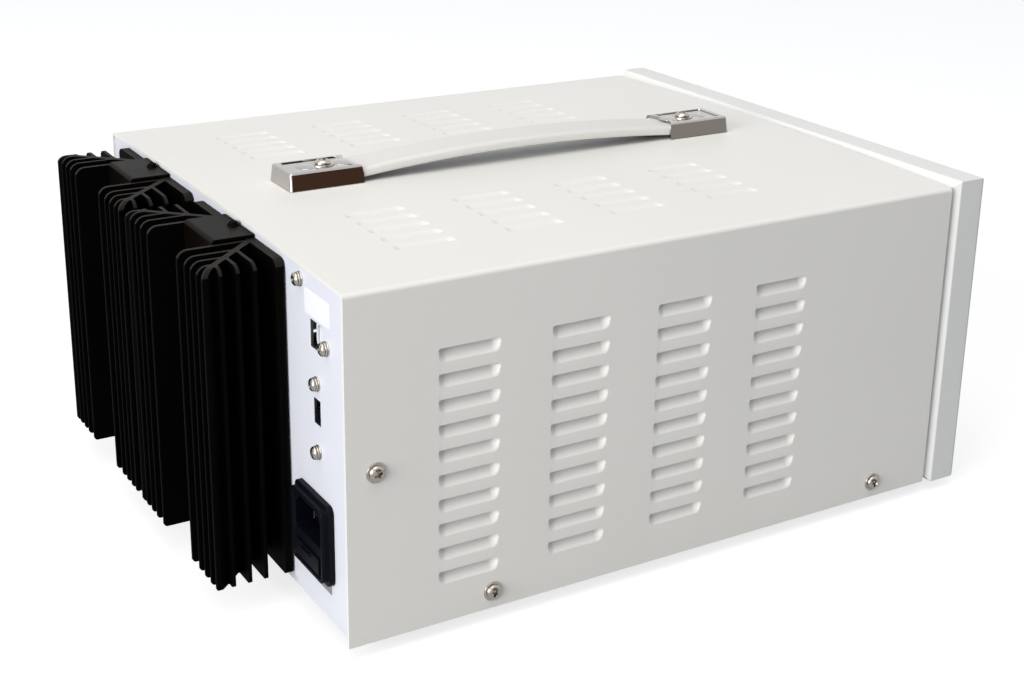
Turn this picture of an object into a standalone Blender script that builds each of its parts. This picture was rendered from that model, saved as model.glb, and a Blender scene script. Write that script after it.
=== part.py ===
"""Triple output bench power supply: a sheet metal case with pressed louvres, two black
extruded heat sinks on its rear panel, a strap handle, and the front panel controls."""

import bmesh
import bpy
from math import copysign, cos, pi, radians, sin, sqrt, tan
from mathutils import Matrix, Vector

MM = 0.001

# Fits
gap = 0.3 * MM                 # between two solids that touch
slide_gap = 0.4 * MM           # round a piece that slides or turns in another
sheet = 1.2 * MM               # all folded steel sheet
overlap = 1 * MM               # how far a cutter passes a wall, and a joined piece sinks in

# Case. x = 0 is the middle, y = 0 the cover's front edge, z = 0 the cover's bottom edge.
cover_width = 264 * MM
cover_depth = 295 * MM
cover_height = 143 * MM        # at the sides; the top is crowned
crown_rise = 2 * MM
crown_facets = 12
bend_radius = 2 * MM
bend_facets = 4
foot_reach = 6 * MM            # below the cover's bottom edge
tray_above_edge = 1.2 * MM     # underside of the tray above the cover's bottom edge
tray_flange = 13 * MM
panel_flange = 17 * MM

# Louvres, pressed inwards in four columns along the depth
louvre_length = 26.7 * MM
louvre_pitch = 49.7 * MM
louvre_from_rear = 38.4 * MM
louvre_columns = 4
louvre_height = 5.8 * MM
louvre_press = 2.6 * MM
louvre_slot = 0.9 * MM
louvre_taper = 2.6 * MM
side_row_pitch = 10.35 * MM
side_row_below_top = 27.6 * MM # uppermost slit below the cover's top
side_row_lowest = 22 * MM      # no slit is lower than this
top_rows = 5                   # in each half of the top
top_row_pitch = 10.9 * MM
top_row_edge = 34.5 * MM       # outermost row from the cover's side

# Front frame and panel
bezel_depth = 18.4 * MM
bezel_gap = 1.2 * MM           # shadow gap between the frame and the cover
bezel_proud_side = 0.7 * MM
bezel_proud_top = 2.5 * MM
bezel_below = 1.1 * MM
bezel_wall = 5 * MM
bezel_rear_bevel = 3.6 * MM
bezel_front_round = 2.5 * MM
bezel_rim = 9 * MM             # width of the frame seen from the front
bezel_inner_round = 4 * MM
panel_recess = 4 * MM          # front panel behind the frame's front
panel_thick = 2 * MM
panel_return = 14 * MM         # flanges folded back from the panel's top and bottom
tray_pad_radius = 5 * MM

# Front layout
window_margin = 17.4 * MM      # from the window's ends to the panel's edges
window_height = 32 * MM
window_below_top = 26.2 * MM   # window's middle below the panel's top edge
window_thick = 2.5 * MM
window_lap = 3 * MM            # how far the window passes its hole behind the panel
digit_inset = (7 * MM, 5 * MM) # digits from the window's edges
digit_depth = 8 * MM
digit_spacing = 4 * MM
digit_blocks = 4
board_thick = 1.6 * MM
display_board_margin = (4 * MM, 3 * MM)
control_board_inset = 9.4 * MM # board's ends from the panel's edges
control_board_above = 9.7 * MM # board's top edge above the knobs' row
control_board_behind = 15 * MM # board's front face behind the panel's back
knob_row_share = 0.5035        # height of the knobs' row as a share of the cover's
knob_shares = {                # places along the panel, as shares of its half width
    "voltage_knob_a": -0.69,
    "current_knob_a": -0.377,
    "current_knob_b": 0.377,
    "voltage_knob_b": 0.69,
}
knob_radius = 9.5 * MM
knob_skirt_radius = 11 * MM
knob_skirt = 3 * MM
knob_length = 14 * MM
knob_taper = 0.92              # front of the grip as a share of its back
knob_mark = (1.2 * MM, 0.5 * MM)         # width and depth of the pointer groove
knob_clear = 1 * MM            # knob's back in front of the panel
spindle_radius = 3 * MM
pot_radius = 8 * MM
pot_depth = 10 * MM
button_from_middle = 14 * MM   # series and parallel buttons, in the knobs' row
output_button_share = 0.3636   # height of the output button as a share of the cover's
button_size = 9 * MM
button_proud = 5 * MM
button_flange = 1.4 * MM       # wider than the hole on each side, behind the panel
button_flange_thick = 1.2 * MM
button_stem = 4 * MM
switch_size = 13 * MM
switch_depth = 8 * MM
row_edge = 22.4 * MM           # rocker's and last post's middle from the panel's edges
rocker_z = 28 * MM
rocker_frame = (17 * MM, 25 * MM)
rocker_opening = (10 * MM, 19 * MM)
rocker_frame_proud = 2 * MM
rocker_frame_lap = 1.5 * MM
rocker_body_depth = 20 * MM
rocker_throw = radians(18)
rocker_end_angle = radians(40)
rocker_pivot_behind = 3.5 * MM # pivot behind the panel's front
post_row_z = 26 * MM
post_counts = {"a": 3, "b": 3, "fixed": 2}
post_pitch = 19 * MM           # the standard spacing of twin plugs
post_group_share = 8 / 23      # of the row's free length, between two groups of posts
post_proud = 17 * MM
post_stud_radius = 3.4 * MM
post_socket_radius = 2.05 * MM
post_collar_radius = 6.5 * MM
post_collar = 3.5 * MM
post_cap_radius = 7 * MM
post_cap_length = 10.5 * MM
post_shank_radius = 3.9 * MM
post_nut_across = 11 * MM
post_nut_thick = 3 * MM

# Rear panel
rear_inset = 0.5 * MM
rear_panel_bottom = 6.25 * MM
near_edge = -cover_width / 2   # the side from which the rear fittings are placed
usb_from_edge = 24.6 * MM
usb_below_top = 24.1 * MM
usb_hole = (10.7 * MM, 11 * MM)
usb_depth = 15 * MM
usb_wall = 0.9 * MM
usb_key = 1.6 * MM
usb_tongue_back = 5 * MM       # tongue's end behind the shell's front
selector_from_edge = 25.5 * MM
selector_share = 0.626         # of the way from the inlet up to the data socket
selector_hole = (5.8 * MM, 10.3 * MM)
selector_travel = 4 * MM
selector_wall = 2.5 * MM
selector_depth = 9 * MM
selector_well = 4.5 * MM
selector_groove = 1 * MM
inlet_from_edge = 28.2 * MM
inlet_z = 37 * MM
inlet_flange = (32 * MM, 34 * MM)
inlet_body_size = (27.4 * MM, 29.4 * MM)
inlet_proud = 4.8 * MM
inlet_step = 2.4 * MM
inlet_corner = 3 * MM
inlet_body_depth = 22 * MM
socket_size = (24.2 * MM, 14 * MM)
socket_key = 4 * MM            # the chamfers that key the plug
socket_depth = 17 * MM
socket_above = 5.6 * MM        # socket's centre above the inlet's centre
drawer_size = (21.4 * MM, 6.6 * MM)
drawer_below = 9.4 * MM
drawer_depth = 20 * MM
drawer_lip = 1.2 * MM
drawer_lip_width = 8 * MM
pin_size = (2 * MM, 4 * MM)
pin_places = {"live": (-7 * MM, -2 * MM), "neutral": (7 * MM, -2 * MM), "earth": (0, 2 * MM)}
pin_recess = 2.5 * MM          # pins' ends inside the socket's mouth
fuse_radius = 2.5 * MM
fuse_wall = 4 * MM

# Heat sinks, seen from above: x from the middle of the sink, depth from its back face
fittings_zone = 51.7 * MM      # from the case's near side to the first sink
sink_spacing = 7.2 * MM
sink_far_margin = 21.1 * MM    # from the second sink to the case's far side
sink_depth = 33 * MM
sink_base = 3.8 * MM
sink_bottom = 7.5 * MM
sink_below_top = 2 * MM        # sinks' top below the cover's
sink_wall_at = 17.5 * MM       # clears the transistor's flange
sink_wall = 1.9 * MM
sink_arm_root_depth = 3 * MM
sink_arm = 2.6 * MM
sink_fin = 1.5 * MM
sink_fin_shares = (0.319, 0.594, 0.869)  # fins between the wall and the outer corner
sink_chamfer = 1.2 * MM
sink_fin_round = 4.5 * MM
sink_foot_round = 1.5 * MM
transistor_cover_width = 31.4 * MM
transistor_cover_out = 18 * MM
transistor_cover_bend = 1.5 * MM
transistor_flange = (26 * MM, 39 * MM)
transistor_flange_thick = 1.6 * MM
transistor_ear = 5 * MM
transistor_waist = 10 * MM
transistor_can_radius = 10.5 * MM
transistor_can_height = 8 * MM

# Handle
cap_size = (23 * MM, 34.5 * MM, 7.5 * MM)
cap_wall = 1.1 * MM
cap_rim = 1.8 * MM
cap_dish = 0.7 * MM
cap_scoop_radius = 19 * MM
cap_scoop = 3.5 * MM
cap_rear_from_rear = 32 * MM
cap_front_from_rear = 229 * MM
handle_screw_from_end = 20 * MM
handle_screw_radius = 2.2 * MM
handle_head_radius = 5.2 * MM
handle_head_height = 2.2 * MM
strap_width = 20 * MM
strap_thick = 4.8 * MM
strap_rise = 5.4 * MM
strap_edge = 1.8 * MM
strap_lead = 10 * MM           # the arch starts this far inside the caps
strap_facets = 12
cap_edge = 0.8 * MM
handle_thread_below = 5 * MM   # under the cover's top

# Inside
transformer_core_size = (84 * MM, 45 * MM, 70 * MM)
transformer_leg = 28 * MM
transformer_window = (14 * MM, 42 * MM)
transformer_bulge = 11 * MM
transformer_share = 0.44       # of the way from the middle to the far side
transformer_y = 150 * MM
main_board_margin = 10 * MM    # from the near side, and from the middle
main_board_depth = 190 * MM
main_board_y = 150 * MM
standoff_height = 7 * MM
standoff_radius = 4 * MM
capacitor_radius = 15 * MM
capacitor_height = 45 * MM
capacitor_ring = 1 * MM        # the sleeve's rolled edge round the top
capacitor_offsets = {          # from the middle of the main board
    "filter_capacitor_a": (-24 * MM, -50 * MM),
    "filter_capacitor_b": (16 * MM, -50 * MM),
}
vent_rows = 5
vent_size = (40 * MM, 5 * MM)
vent_pitch = 13 * MM
vent_middle = 195 * MM
vent_from_middle = 60 * MM
foot_radius = 9.5 * MM
foot_inset = 26 * MM
foot_taper = 1.5 * MM
foot_edge = 1 * MM
foot_hollow = (3.5 * MM, 2.5 * MM)       # radius and depth of the screw's recess

# Places that follow from the sizes
half = cover_width / 2
inner_half = half - sheet - gap          # what slides inside the cover
bezel_rear = -bezel_gap
bezel_front = bezel_rear - bezel_depth
bezel_half = half + bezel_proud_side
bezel_bottom = -bezel_below
bezel_top = cover_height + bezel_proud_top
panel_front = bezel_front + panel_recess
panel_back = panel_front + panel_thick
panel_half = bezel_half - bezel_wall - gap
panel_bottom = bezel_bottom + bezel_wall + gap
panel_top = bezel_top - bezel_wall - gap
window_size = (2 * (panel_half - window_margin), window_height)
window_centre_z = panel_top - window_below_top
knob_row_z = knob_row_share * cover_height
knob_places = {name: share * panel_half for name, share in knob_shares.items()}
button_places = {
    "series_button": (-button_from_middle, knob_row_z),
    "parallel_button": (button_from_middle, knob_row_z),
    "output_button": (0, output_button_share * cover_height),
}
row_half = panel_half - row_edge
rocker_place = (-row_half, rocker_z)
usb_place = (near_edge + usb_from_edge, cover_height - usb_below_top)
inlet_place = (near_edge + inlet_from_edge, inlet_z)
selector_place = (near_edge + selector_from_edge,
                  inlet_place[1] + selector_share * (usb_place[1] - inlet_place[1]))
tray_bottom = tray_above_edge
tray_top = tray_bottom + sheet
tray_half = inner_half
panel_flange_back = panel_back + panel_return
rear_face = cover_depth - rear_inset
rear_inner = rear_face - sheet
sink_back = rear_face + gap
sink_tip = sink_back + sink_depth
sink_top = cover_height - sink_below_top
sink_width = (cover_width - fittings_zone - sink_spacing - sink_far_margin) / 2
sink_centre = (near_edge + fittings_zone + sink_width / 2,
               half - sink_far_margin - sink_width / 2)
transformer_at = (transformer_share * half, transformer_y)
main_board_size = (half - 2 * main_board_margin, main_board_depth)
main_board_at = (-half / 2, main_board_y)
control_board_front = panel_back + control_board_behind
post_front = panel_front - post_proud
lowest = -foot_reach
depth_middle = (post_front + sink_tip) / 2


def crown(x):
    """Height of the cover's top face at x."""
    share = min(abs(x) / (half - bend_radius), 1)
    return cover_height + crown_rise * (1 - share ** 2)


# The scene, its collections and the empty that carries everything

for old in list(bpy.data.objects):
    bpy.data.objects.remove(old, do_unlink=True)

supply = bpy.data.collections.new("power_supply")
cutters = bpy.data.collections.new("cutters")
bpy.context.scene.collection.children.link(supply)
bpy.context.scene.collection.children.link(cutters)

stand = bpy.data.objects.new("power_supply_origin", None)
stand.location = (0, -depth_middle, -lowest)
supply.objects.link(stand)


def material(name, colour, roughness, metallic=0.0):
    made = bpy.data.materials.new(name)
    made.use_nodes = True
    shader = made.node_tree.nodes["Principled BSDF"]
    shader.inputs["Base Color"].default_value = (*colour, 1)
    shader.inputs["Roughness"].default_value = roughness
    shader.inputs["Metallic"].default_value = metallic
    made.diffuse_color = (*colour, 1)
    return made


cream_paint = material("cream_paint", (0.58, 0.56, 0.53), 0.5)
rear_paint = material("rear_paint", (0.72, 0.75, 0.84), 0.45)
zinc_steel = material("zinc_steel", (0.6, 0.6, 0.58), 0.4, 1)
grey_plastic = material("grey_plastic", (0.62, 0.61, 0.6), 0.45)
panel_paint = material("panel_paint", (0.2, 0.21, 0.24), 0.5)
smoked_acrylic = material("smoked_acrylic", (0.02, 0.005, 0.006), 0.08)
board_green = material("board_green", (0.03, 0.16, 0.07), 0.5)
black_plastic = material("black_plastic", (0.015, 0.015, 0.018), 0.4)
dark_knob = material("dark_knob", (0.05, 0.05, 0.055), 0.45)
button_plastic = material("button_plastic", (0.75, 0.75, 0.72), 0.4)
red_plastic = material("red_plastic", (0.55, 0.03, 0.03), 0.35)
green_plastic = material("green_plastic", (0.03, 0.3, 0.1), 0.35)
nickel = material("nickel", (0.7, 0.68, 0.64), 0.25, 1)
black_anodised = material("black_anodised", (0.02, 0.02, 0.024), 0.42, 0.3)
black_enamel = material("black_enamel", (0.022, 0.02, 0.022), 0.35)
core_steel = material("core_steel", (0.25, 0.25, 0.27), 0.4, 1)
winding_tape = material("winding_tape", (0.7, 0.5, 0.08), 0.5)
capacitor_sleeve = material("capacitor_sleeve", (0.03, 0.04, 0.12), 0.3)
vinyl = material("vinyl", (0.6, 0.6, 0.6), 0.5)
chrome = material("chrome", (0.8, 0.8, 0.82), 0.1, 1)
black_rubber = material("black_rubber", (0.02, 0.02, 0.02), 0.8)


# Modelling helpers

def add(name, bm, finish, collection=supply):
    """Close a bmesh as one object under the empty."""
    mesh = bpy.data.meshes.new(name)
    bmesh.ops.recalc_face_normals(bm, faces=bm.faces)
    bm.to_mesh(mesh)
    bm.free()
    made = bpy.data.objects.new(name, mesh)
    collection.objects.link(made)
    made.parent = stand
    if finish:
        mesh.materials.append(finish)
    else:
        made.hide_render = True
        made.display_type = "WIRE"
    return made


def block(bm, low, high):
    """A box between two corners."""
    made = bmesh.ops.create_cube(bm, size=1)["verts"]
    size = Vector(high) - Vector(low)
    bmesh.ops.scale(bm, vec=size, verts=made)
    bmesh.ops.translate(bm, vec=(Vector(low) + Vector(high)) / 2, verts=made)
    return made


def plate(bm, centre, size, y_from, y_to):
    """A box given by its middle and size in the XZ plane and its two depths."""
    x, z = centre
    wide, high = size
    return block(bm, (x - wide / 2, y_from, z - high / 2), (x + wide / 2, y_to, z + high / 2))


def rod(bm, centre, radius, y_from, y_to, sides=16):
    """A cylinder along Y."""
    made = bmesh.ops.create_cone(
        bm, cap_ends=True, segments=sides, radius1=radius, radius2=radius, depth=y_to - y_from
    )["verts"]
    bmesh.ops.rotate(bm, matrix=Matrix.Rotation(pi / 2, 3, "X"), verts=made)
    bmesh.ops.translate(bm, vec=(centre[0], (y_from + y_to) / 2, centre[1]), verts=made)
    return made


def post_up(bm, x, y, radius, z_from, z_to, sides=12):
    """A cylinder along Z."""
    made = bmesh.ops.create_cone(
        bm, cap_ends=True, segments=sides, radius1=radius, radius2=radius, depth=z_to - z_from
    )["verts"]
    bmesh.ops.translate(bm, vec=(x, y, (z_from + z_to) / 2), verts=made)
    return made


def extruded(bm, outline, along):
    """A flat outline of points, extruded along a vector."""
    face = bm.faces.new([bm.verts.new(point) for point in outline])
    made = bmesh.ops.extrude_face_region(bm, geom=[face])["geom"]
    moved = [item for item in made if isinstance(item, bmesh.types.BMVert)]
    bmesh.ops.translate(bm, vec=along, verts=moved)
    return moved


def rounded(width, height, radius, steps=3):
    """Corner points of a rounded rectangle about the origin."""
    points = []
    for corner in range(4):
        turn = corner * pi / 2
        cx = (width / 2 - radius) * (1 if corner in (0, 3) else -1)
        cz = (height / 2 - radius) * (1 if corner < 2 else -1)
        for step in range(steps + 1):
            angle = turn + step * pi / 2 / steps
            points.append((cx + radius * cos(angle), cz + radius * sin(angle)))
    return points


def boolean(target, tool, operation="DIFFERENCE"):
    change = target.modifiers.new(tool.name, "BOOLEAN")
    change.operation = operation
    change.object = tool
    return change


def soften(target, width, segments=2, angle=30):
    change = target.modifiers.new("rounding", "BEVEL")
    change.width = width
    change.segments = segments
    change.limit_method = "ANGLE"
    change.angle_limit = radians(angle)
    return change


def turned(name, profile, finish, steps=24, collection=supply):
    """A profile of (radius, height) points, top to bottom down its outside, spun about Z."""
    bm = bmesh.new()
    chain = [bm.verts.new((r, 0, h)) for r, h in profile]
    for one, two in zip(chain, chain[1:]):
        bm.edges.new((one, two))
    mesh = bpy.data.meshes.new(name)
    bm.to_mesh(mesh)
    bm.free()
    made = bpy.data.objects.new(name, mesh)
    collection.objects.link(made)
    made.parent = stand
    mesh.materials.append(finish)
    spin = made.modifiers.new("turning", "SCREW")
    spin.steps = steps
    spin.render_steps = steps
    spin.use_merge_vertices = True
    spin.merge_threshold = 0.00001
    return made


# Cover: one folded sheet with its louvres

def louvre_stations():
    """Where along the depth each column of louvres starts, tapers and ends."""
    columns = []
    for column in range(louvre_columns):
        rear = cover_depth - louvre_from_rear - column * louvre_pitch
        columns.append((rear - louvre_length, rear))
    return sorted(columns)


def side_slits():
    top = cover_height - side_row_below_top
    rows = int((top - side_row_lowest) / side_row_pitch) + 1
    return [top - row * side_row_pitch for row in range(rows)]


def top_slits():
    """The rows are mirrored, but each is cut along its edge towards the near side."""
    outer = [half - top_row_edge - row * top_row_pitch for row in range(top_rows)]
    return [-x for x in outer] + [x - louvre_height for x in outer]


def side_section(side):
    """One side of the cover's section, from its bottom edge to the end of the bend."""
    points = [(half, 0)]
    for slit in reversed(side_slits()):
        points += [(half, slit - louvre_height), (half, slit - louvre_slot), (half, slit)]
    for step in range(bend_facets + 1):
        angle = step * pi / 2 / bend_facets
        points.append((half - bend_radius * (1 - cos(angle)),
                       cover_height - bend_radius * (1 - sin(angle))))
    return [(side * x, z) for x, z in points]


def cover_section():
    """The cover's outer section, from its near bottom edge over the top to its far one."""
    across = [0]
    for slit in top_slits():
        across += [slit, slit + louvre_slot, slit + louvre_height]
    top = [(x, crown(x)) for x in sorted(across)]
    return side_section(-1) + top + side_section(1)[::-1]


def make_cover():
    bm = bmesh.new()
    chain = [bm.verts.new((x, 0, z)) for x, z in cover_section()]
    edges = [bm.edges.new(pair) for pair in zip(chain, chain[1:])]
    stations = []
    for start, end in louvre_stations():
        stations += [start, start + louvre_taper, end - louvre_taper, end]
    stations.append(cover_depth)
    at = 0
    for station in stations:
        grown = bmesh.ops.extrude_edge_only(bm, edges=edges)["geom"]
        moved = [item for item in grown if isinstance(item, bmesh.types.BMVert)]
        edges = [item for item in grown if isinstance(item, bmesh.types.BMEdge)]
        bmesh.ops.translate(bm, vec=(0, station - at, 0), verts=moved)
        at = station

    def column_of(y):
        for start, end in louvre_stations():
            if start < y < end:
                return start, end
        return None

    slot_faces = []
    for face in bm.faces:
        middle = face.calc_center_median()
        if not column_of(middle.y):
            continue
        on_side = any(slit - louvre_slot < middle.z < slit for slit in side_slits())
        on_top = any(slit < middle.x < slit + louvre_slot for slit in top_slits())
        if (abs(middle.x) > half - gap and on_side) or (middle.z > cover_height and on_top):
            slot_faces.append(face)
    bmesh.ops.delete(bm, geom=slot_faces, context="FACES_KEEP_BOUNDARY")
    near = 0.01 * MM
    for vert in bm.verts:
        x, y, z = vert.co
        column = column_of(y)
        if not column or min(y - column[0], column[1] - y) < louvre_taper - near:
            continue
        if abs(x) > half - near and any(abs(z - slit + louvre_slot) < near for slit in side_slits()):
            vert.co.x -= copysign(louvre_press, x)
        elif z > cover_height and any(abs(x - slit - louvre_slot) < near for slit in top_slits()):
            vert.co.z -= louvre_press
    loose = [edge for edge in bm.edges if not edge.link_faces]
    bmesh.ops.delete(bm, geom=loose, context="EDGES")
    bmesh.ops.dissolve_limit(
        bm, angle_limit=radians(0.01), use_dissolve_boundaries=False,
        verts=bm.verts, edges=bm.edges,
    )
    bmesh.ops.recalc_face_normals(bm, faces=bm.faces)
    if max(bm.faces, key=lambda f: f.calc_center_median().x).normal.x < 0:
        bmesh.ops.reverse_faces(bm, faces=bm.faces)
    mesh = bpy.data.meshes.new("cover")
    bm.to_mesh(mesh)
    bm.free()
    cover = bpy.data.objects.new("cover", mesh)
    supply.objects.link(cover)
    cover.parent = stand
    mesh.materials.append(cream_paint)
    wall = cover.modifiers.new("sheet", "SOLIDIFY")
    wall.thickness = sheet
    wall.offset = -1
    wall.use_even_offset = True
    holes = bmesh.new()
    for y in handle_screw_places():
        post_up(holes, 0, y, handle_screw_radius + slide_gap, cover_height - bend_radius,
                crown(0) + overlap)
    boolean(cover, add("handle_holes_in_cover", holes, None, cutters))
    return cover


# Handle

def cap_span(from_rear):
    """The two ends of a handle cap along the depth, front end first."""
    return cover_depth - from_rear - cap_size[1], cover_depth - from_rear


def handle_screw_places():
    front, rear = cap_span(cap_front_from_rear), cap_span(cap_rear_from_rear)
    return front[0] + handle_screw_from_end, rear[1] - handle_screw_from_end


def strap_middle(y):
    """Height of the strap's middle line: level under the caps, arched between them."""
    start, end = cap_span(cap_front_from_rear)[1], cap_span(cap_rear_from_rear)[0]
    seat = crown(0) + gap + strap_thick / 2
    share = (y - start + strap_lead) / (end - start + 2 * strap_lead)
    return seat + strap_rise * (sin(pi * min(max(share, 0), 1)) ** 0.8)


def make_handle():
    seat = crown(0) + gap
    screws = handle_screw_places()
    wide, _, high = cap_size
    spans = {"handle_cap_rear": (*cap_span(cap_rear_from_rear), 1),
             "handle_cap_front": (*cap_span(cap_front_from_rear), -1)}
    tunnel_half = strap_width / 2 + gap
    for name, (front, rear, towards) in spans.items():
        bm = bmesh.new()
        block(bm, (-wide / 2, front, seat), (wide / 2, rear, seat + high))
        cap = add(name, bm, chrome)
        soften(cap, cap_edge, 2)
        inner_end = front if towards > 0 else rear
        outer_end = rear if towards > 0 else front
        tool = bmesh.new()
        tunnel = sorted((inner_end - towards * overlap, outer_end - towards * cap_wall))
        block(tool, (-tunnel_half, tunnel[0], seat - overlap),
              (tunnel_half, tunnel[1], seat + high - cap_wall))
        boolean(cap, add(name + "_tunnel", tool, None, cutters))
        dish = bmesh.new()
        ends = sorted((inner_end - towards * overlap, outer_end - towards * cap_rim * 2))
        block(dish, (-wide / 2 + cap_rim, ends[0], seat + high - cap_dish),
              (wide / 2 - cap_rim, ends[1], seat + high + overlap))
        hole_at = max(screws) if towards > 0 else min(screws)
        boolean(cap, add(name + "_dish", dish, None, cutters))
        hole = bmesh.new()
        post_up(hole, 0, hole_at, handle_screw_radius + slide_gap, seat, seat + high + overlap)
        boolean(cap, add(name + "_hole", hole, None, cutters))
        scoop = bmesh.new()
        post_up(scoop, 0, inner_end - towards * (cap_scoop_radius - cap_scoop),
                cap_scoop_radius, seat + high - cap_wall * 3, seat + high + overlap, 48)
        boolean(cap, add(name + "_scoop", scoop, None, cutters))

    ends = spans["handle_cap_front"][0] + cap_wall + gap, spans["handle_cap_rear"][1] - cap_wall - gap
    stations = [ends[0] + (ends[1] - ends[0]) * step / strap_facets
                for step in range(strap_facets + 1)]
    outline = [(-strap_width / 2, y, strap_middle(y) - strap_thick / 2) for y in stations]
    outline += [(-strap_width / 2, y, strap_middle(y) + strap_thick / 2) for y in reversed(stations)]
    bm = bmesh.new()
    extruded(bm, outline, (strap_width, 0, 0))
    strap = add("handle_strap", bm, vinyl)
    soften(strap, strap_edge, 2, 60)
    holes = bmesh.new()
    for y in screws:
        post_up(holes, 0, y, handle_screw_radius + slide_gap, seat - overlap,
                seat + strap_thick + strap_rise)
    boolean(strap, add("handle_holes_in_strap", holes, None, cutters))

    head_seat = seat + high - cap_dish + gap
    for name, y in zip(("handle_screw_front", "handle_screw_rear"), sorted(screws)):
        profile = [(0, head_seat + handle_head_height)]
        for step in range(1, 4):
            turn = step * pi / 6
            profile.append((handle_head_radius * sin(turn),
                            head_seat + handle_head_height * (0.25 + 0.75 * cos(turn))))
        profile += [(handle_head_radius, head_seat), (handle_screw_radius, head_seat),
                    (handle_screw_radius, crown(0) - handle_thread_below),
                    (0, crown(0) - handle_thread_below)]
        screw = turned(name, profile, nickel, 12)
        screw.location = (0, y, 0)


# Tray, rear panel and feet

def make_tray():
    """Floor with two side flanges and a rear one, vent slots, and pads for the front panel."""
    front = bezel_rear + gap
    rear = rear_inner - gap
    bm = bmesh.new()
    block(bm, (-tray_half, front, tray_bottom), (tray_half, rear, tray_bottom + tray_flange))
    tray = add("chassis_tray", bm, zinc_steel)
    tool = bmesh.new()
    block(tool, (-tray_half + sheet, front - overlap, tray_top),
          (tray_half - sheet, rear - sheet, tray_bottom + tray_flange + overlap))
    boolean(tray, add("tray_inside", tool, None, cutters))
    vents = bmesh.new()
    wide, high = vent_size
    for row in range(vent_rows):
        y = vent_middle + (row - (vent_rows - 1) / 2) * vent_pitch
        for x in (-vent_from_middle, vent_from_middle):
            block(vents, (x - wide / 2, y - high / 2, tray_bottom - overlap),
                  (x + wide / 2, y + high / 2, tray_top + overlap))
    boolean(tray, add("tray_vents", vents, None, cutters))
    pads = bmesh.new()
    for x in (-panel_half / 2, panel_half / 2):
        post_up(pads, x, front + tray_pad_radius + gap, tray_pad_radius, tray_bottom + sheet / 2,
                panel_bottom - gap)
    boolean(tray, add("tray_pads", pads, None, cutters), "UNION")


def make_rear_panel():
    """Flat panel under the crowned top, with a flange folded forward at each side."""
    drop = sheet + gap
    shoulder = inner_half - bend_radius
    side_top = cover_height - drop - bend_radius
    outline = [(-inner_half, rear_panel_bottom), (inner_half, rear_panel_bottom), (inner_half, side_top)]
    for step in range(crown_facets + 1):
        x = shoulder * (1 - 2 * step / crown_facets)
        outline.append((x, crown(x) - drop))
    outline.append((-inner_half, side_top))
    bm = bmesh.new()
    extruded(bm, [(x, rear_inner, z) for x, z in outline], (0, sheet, 0))
    panel = add("rear_panel", bm, rear_paint)
    for side, name in ((-1, "near"), (1, "far")):
        flange = bmesh.new()
        edges = sorted((side * inner_half, side * (inner_half - sheet)))
        block(flange, (edges[0], rear_inner - panel_flange, tray_bottom + tray_flange + gap),
              (edges[1], rear_inner + sheet / 2, side_top))
        boolean(panel, add("rear_flange_" + name, flange, None, cutters), "UNION")
    holes = bmesh.new()
    through = (rear_inner - overlap, rear_face + overlap)
    plate(holes, usb_place, usb_hole, *through)
    plate(holes, selector_place, selector_hole, *through)
    body_hole = tuple(size + 2 * gap for size in inlet_body_size)
    plate(holes, inlet_place, body_hole, *through)
    boolean(panel, add("rear_panel_holes", holes, None, cutters))


def make_feet():
    for side_name, x in (("left", -half + foot_inset), ("right", half - foot_inset)):
        for end_name, y in (("front", foot_inset), ("rear", cover_depth - foot_inset)):
            top = tray_bottom - gap
            hollow_radius, hollow_depth = foot_hollow
            profile = [
                (0, top), (foot_radius, top), (foot_radius, top - foot_edge),
                (foot_radius - foot_taper, lowest + foot_edge),
                (foot_radius - foot_taper - foot_edge, lowest), (hollow_radius, lowest),
                (hollow_radius, lowest + hollow_depth), (0, lowest + hollow_depth),
            ]
            foot = turned("foot_%s_%s" % (end_name, side_name), profile, black_rubber, 12)
            foot.location = (x, y, 0)


# Heat sinks

def sink_outline():
    """Half of the extrusion's section, from the middle of the channel out to the base's end.

    A slanting arm runs from the foot of the channel wall to the outer corner. Each node on
    the arm carries one fin out to the tip plane and one fin out to the side. All of them are
    drawn longer than they are, and get trimmed by the envelope.
    """
    corner = Vector((sink_width / 2, sink_depth))
    root = Vector((sink_wall_at, sink_arm_root_depth))
    slope = (corner.y - root.y) / (corner.x - root.x)
    lift = sink_arm / 2 * sqrt(1 + slope ** 2)

    def arm_y(x):
        return root.y + (x - root.x) * slope

    def upper(x):
        return arm_y(x) + lift

    def upper_x(y):
        return root.x + (y - lift - root.y) / slope

    def lower_x(y):
        return root.x + (y + lift - root.y) / slope

    side, tip = sink_width / 2 + overlap, sink_depth + overlap
    wall_in, wall_out = sink_wall_at - sink_wall / 2, sink_wall_at + sink_wall / 2
    fin = sink_fin / 2
    last = sink_width / 2 - sink_arm * 1.5
    fins = [wall_out + share * (last - wall_out) for share in sink_fin_shares]
    points = [(wall_in, sink_base), (wall_in, tip), (wall_out, tip), (wall_out, upper(wall_out))]
    for x in fins:
        points += [(x - fin, upper(x - fin)), (x - fin, tip), (x + fin, tip),
                   (x + fin, upper(x + fin))]
    points += [(upper_x(tip), tip), (side, tip), (side, arm_y(side) - lift)]
    for x in reversed(fins):
        y = arm_y(x)
        points += [(lower_x(y + fin), y + fin), (side, y + fin), (side, y - fin),
                   (lower_x(y - fin), y - fin)]
    points += [(lower_x(sink_base), sink_base), (side, sink_base), (side, sink_chamfer + overlap),
               (side - sink_chamfer - 2 * overlap, -overlap)]
    return points


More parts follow.
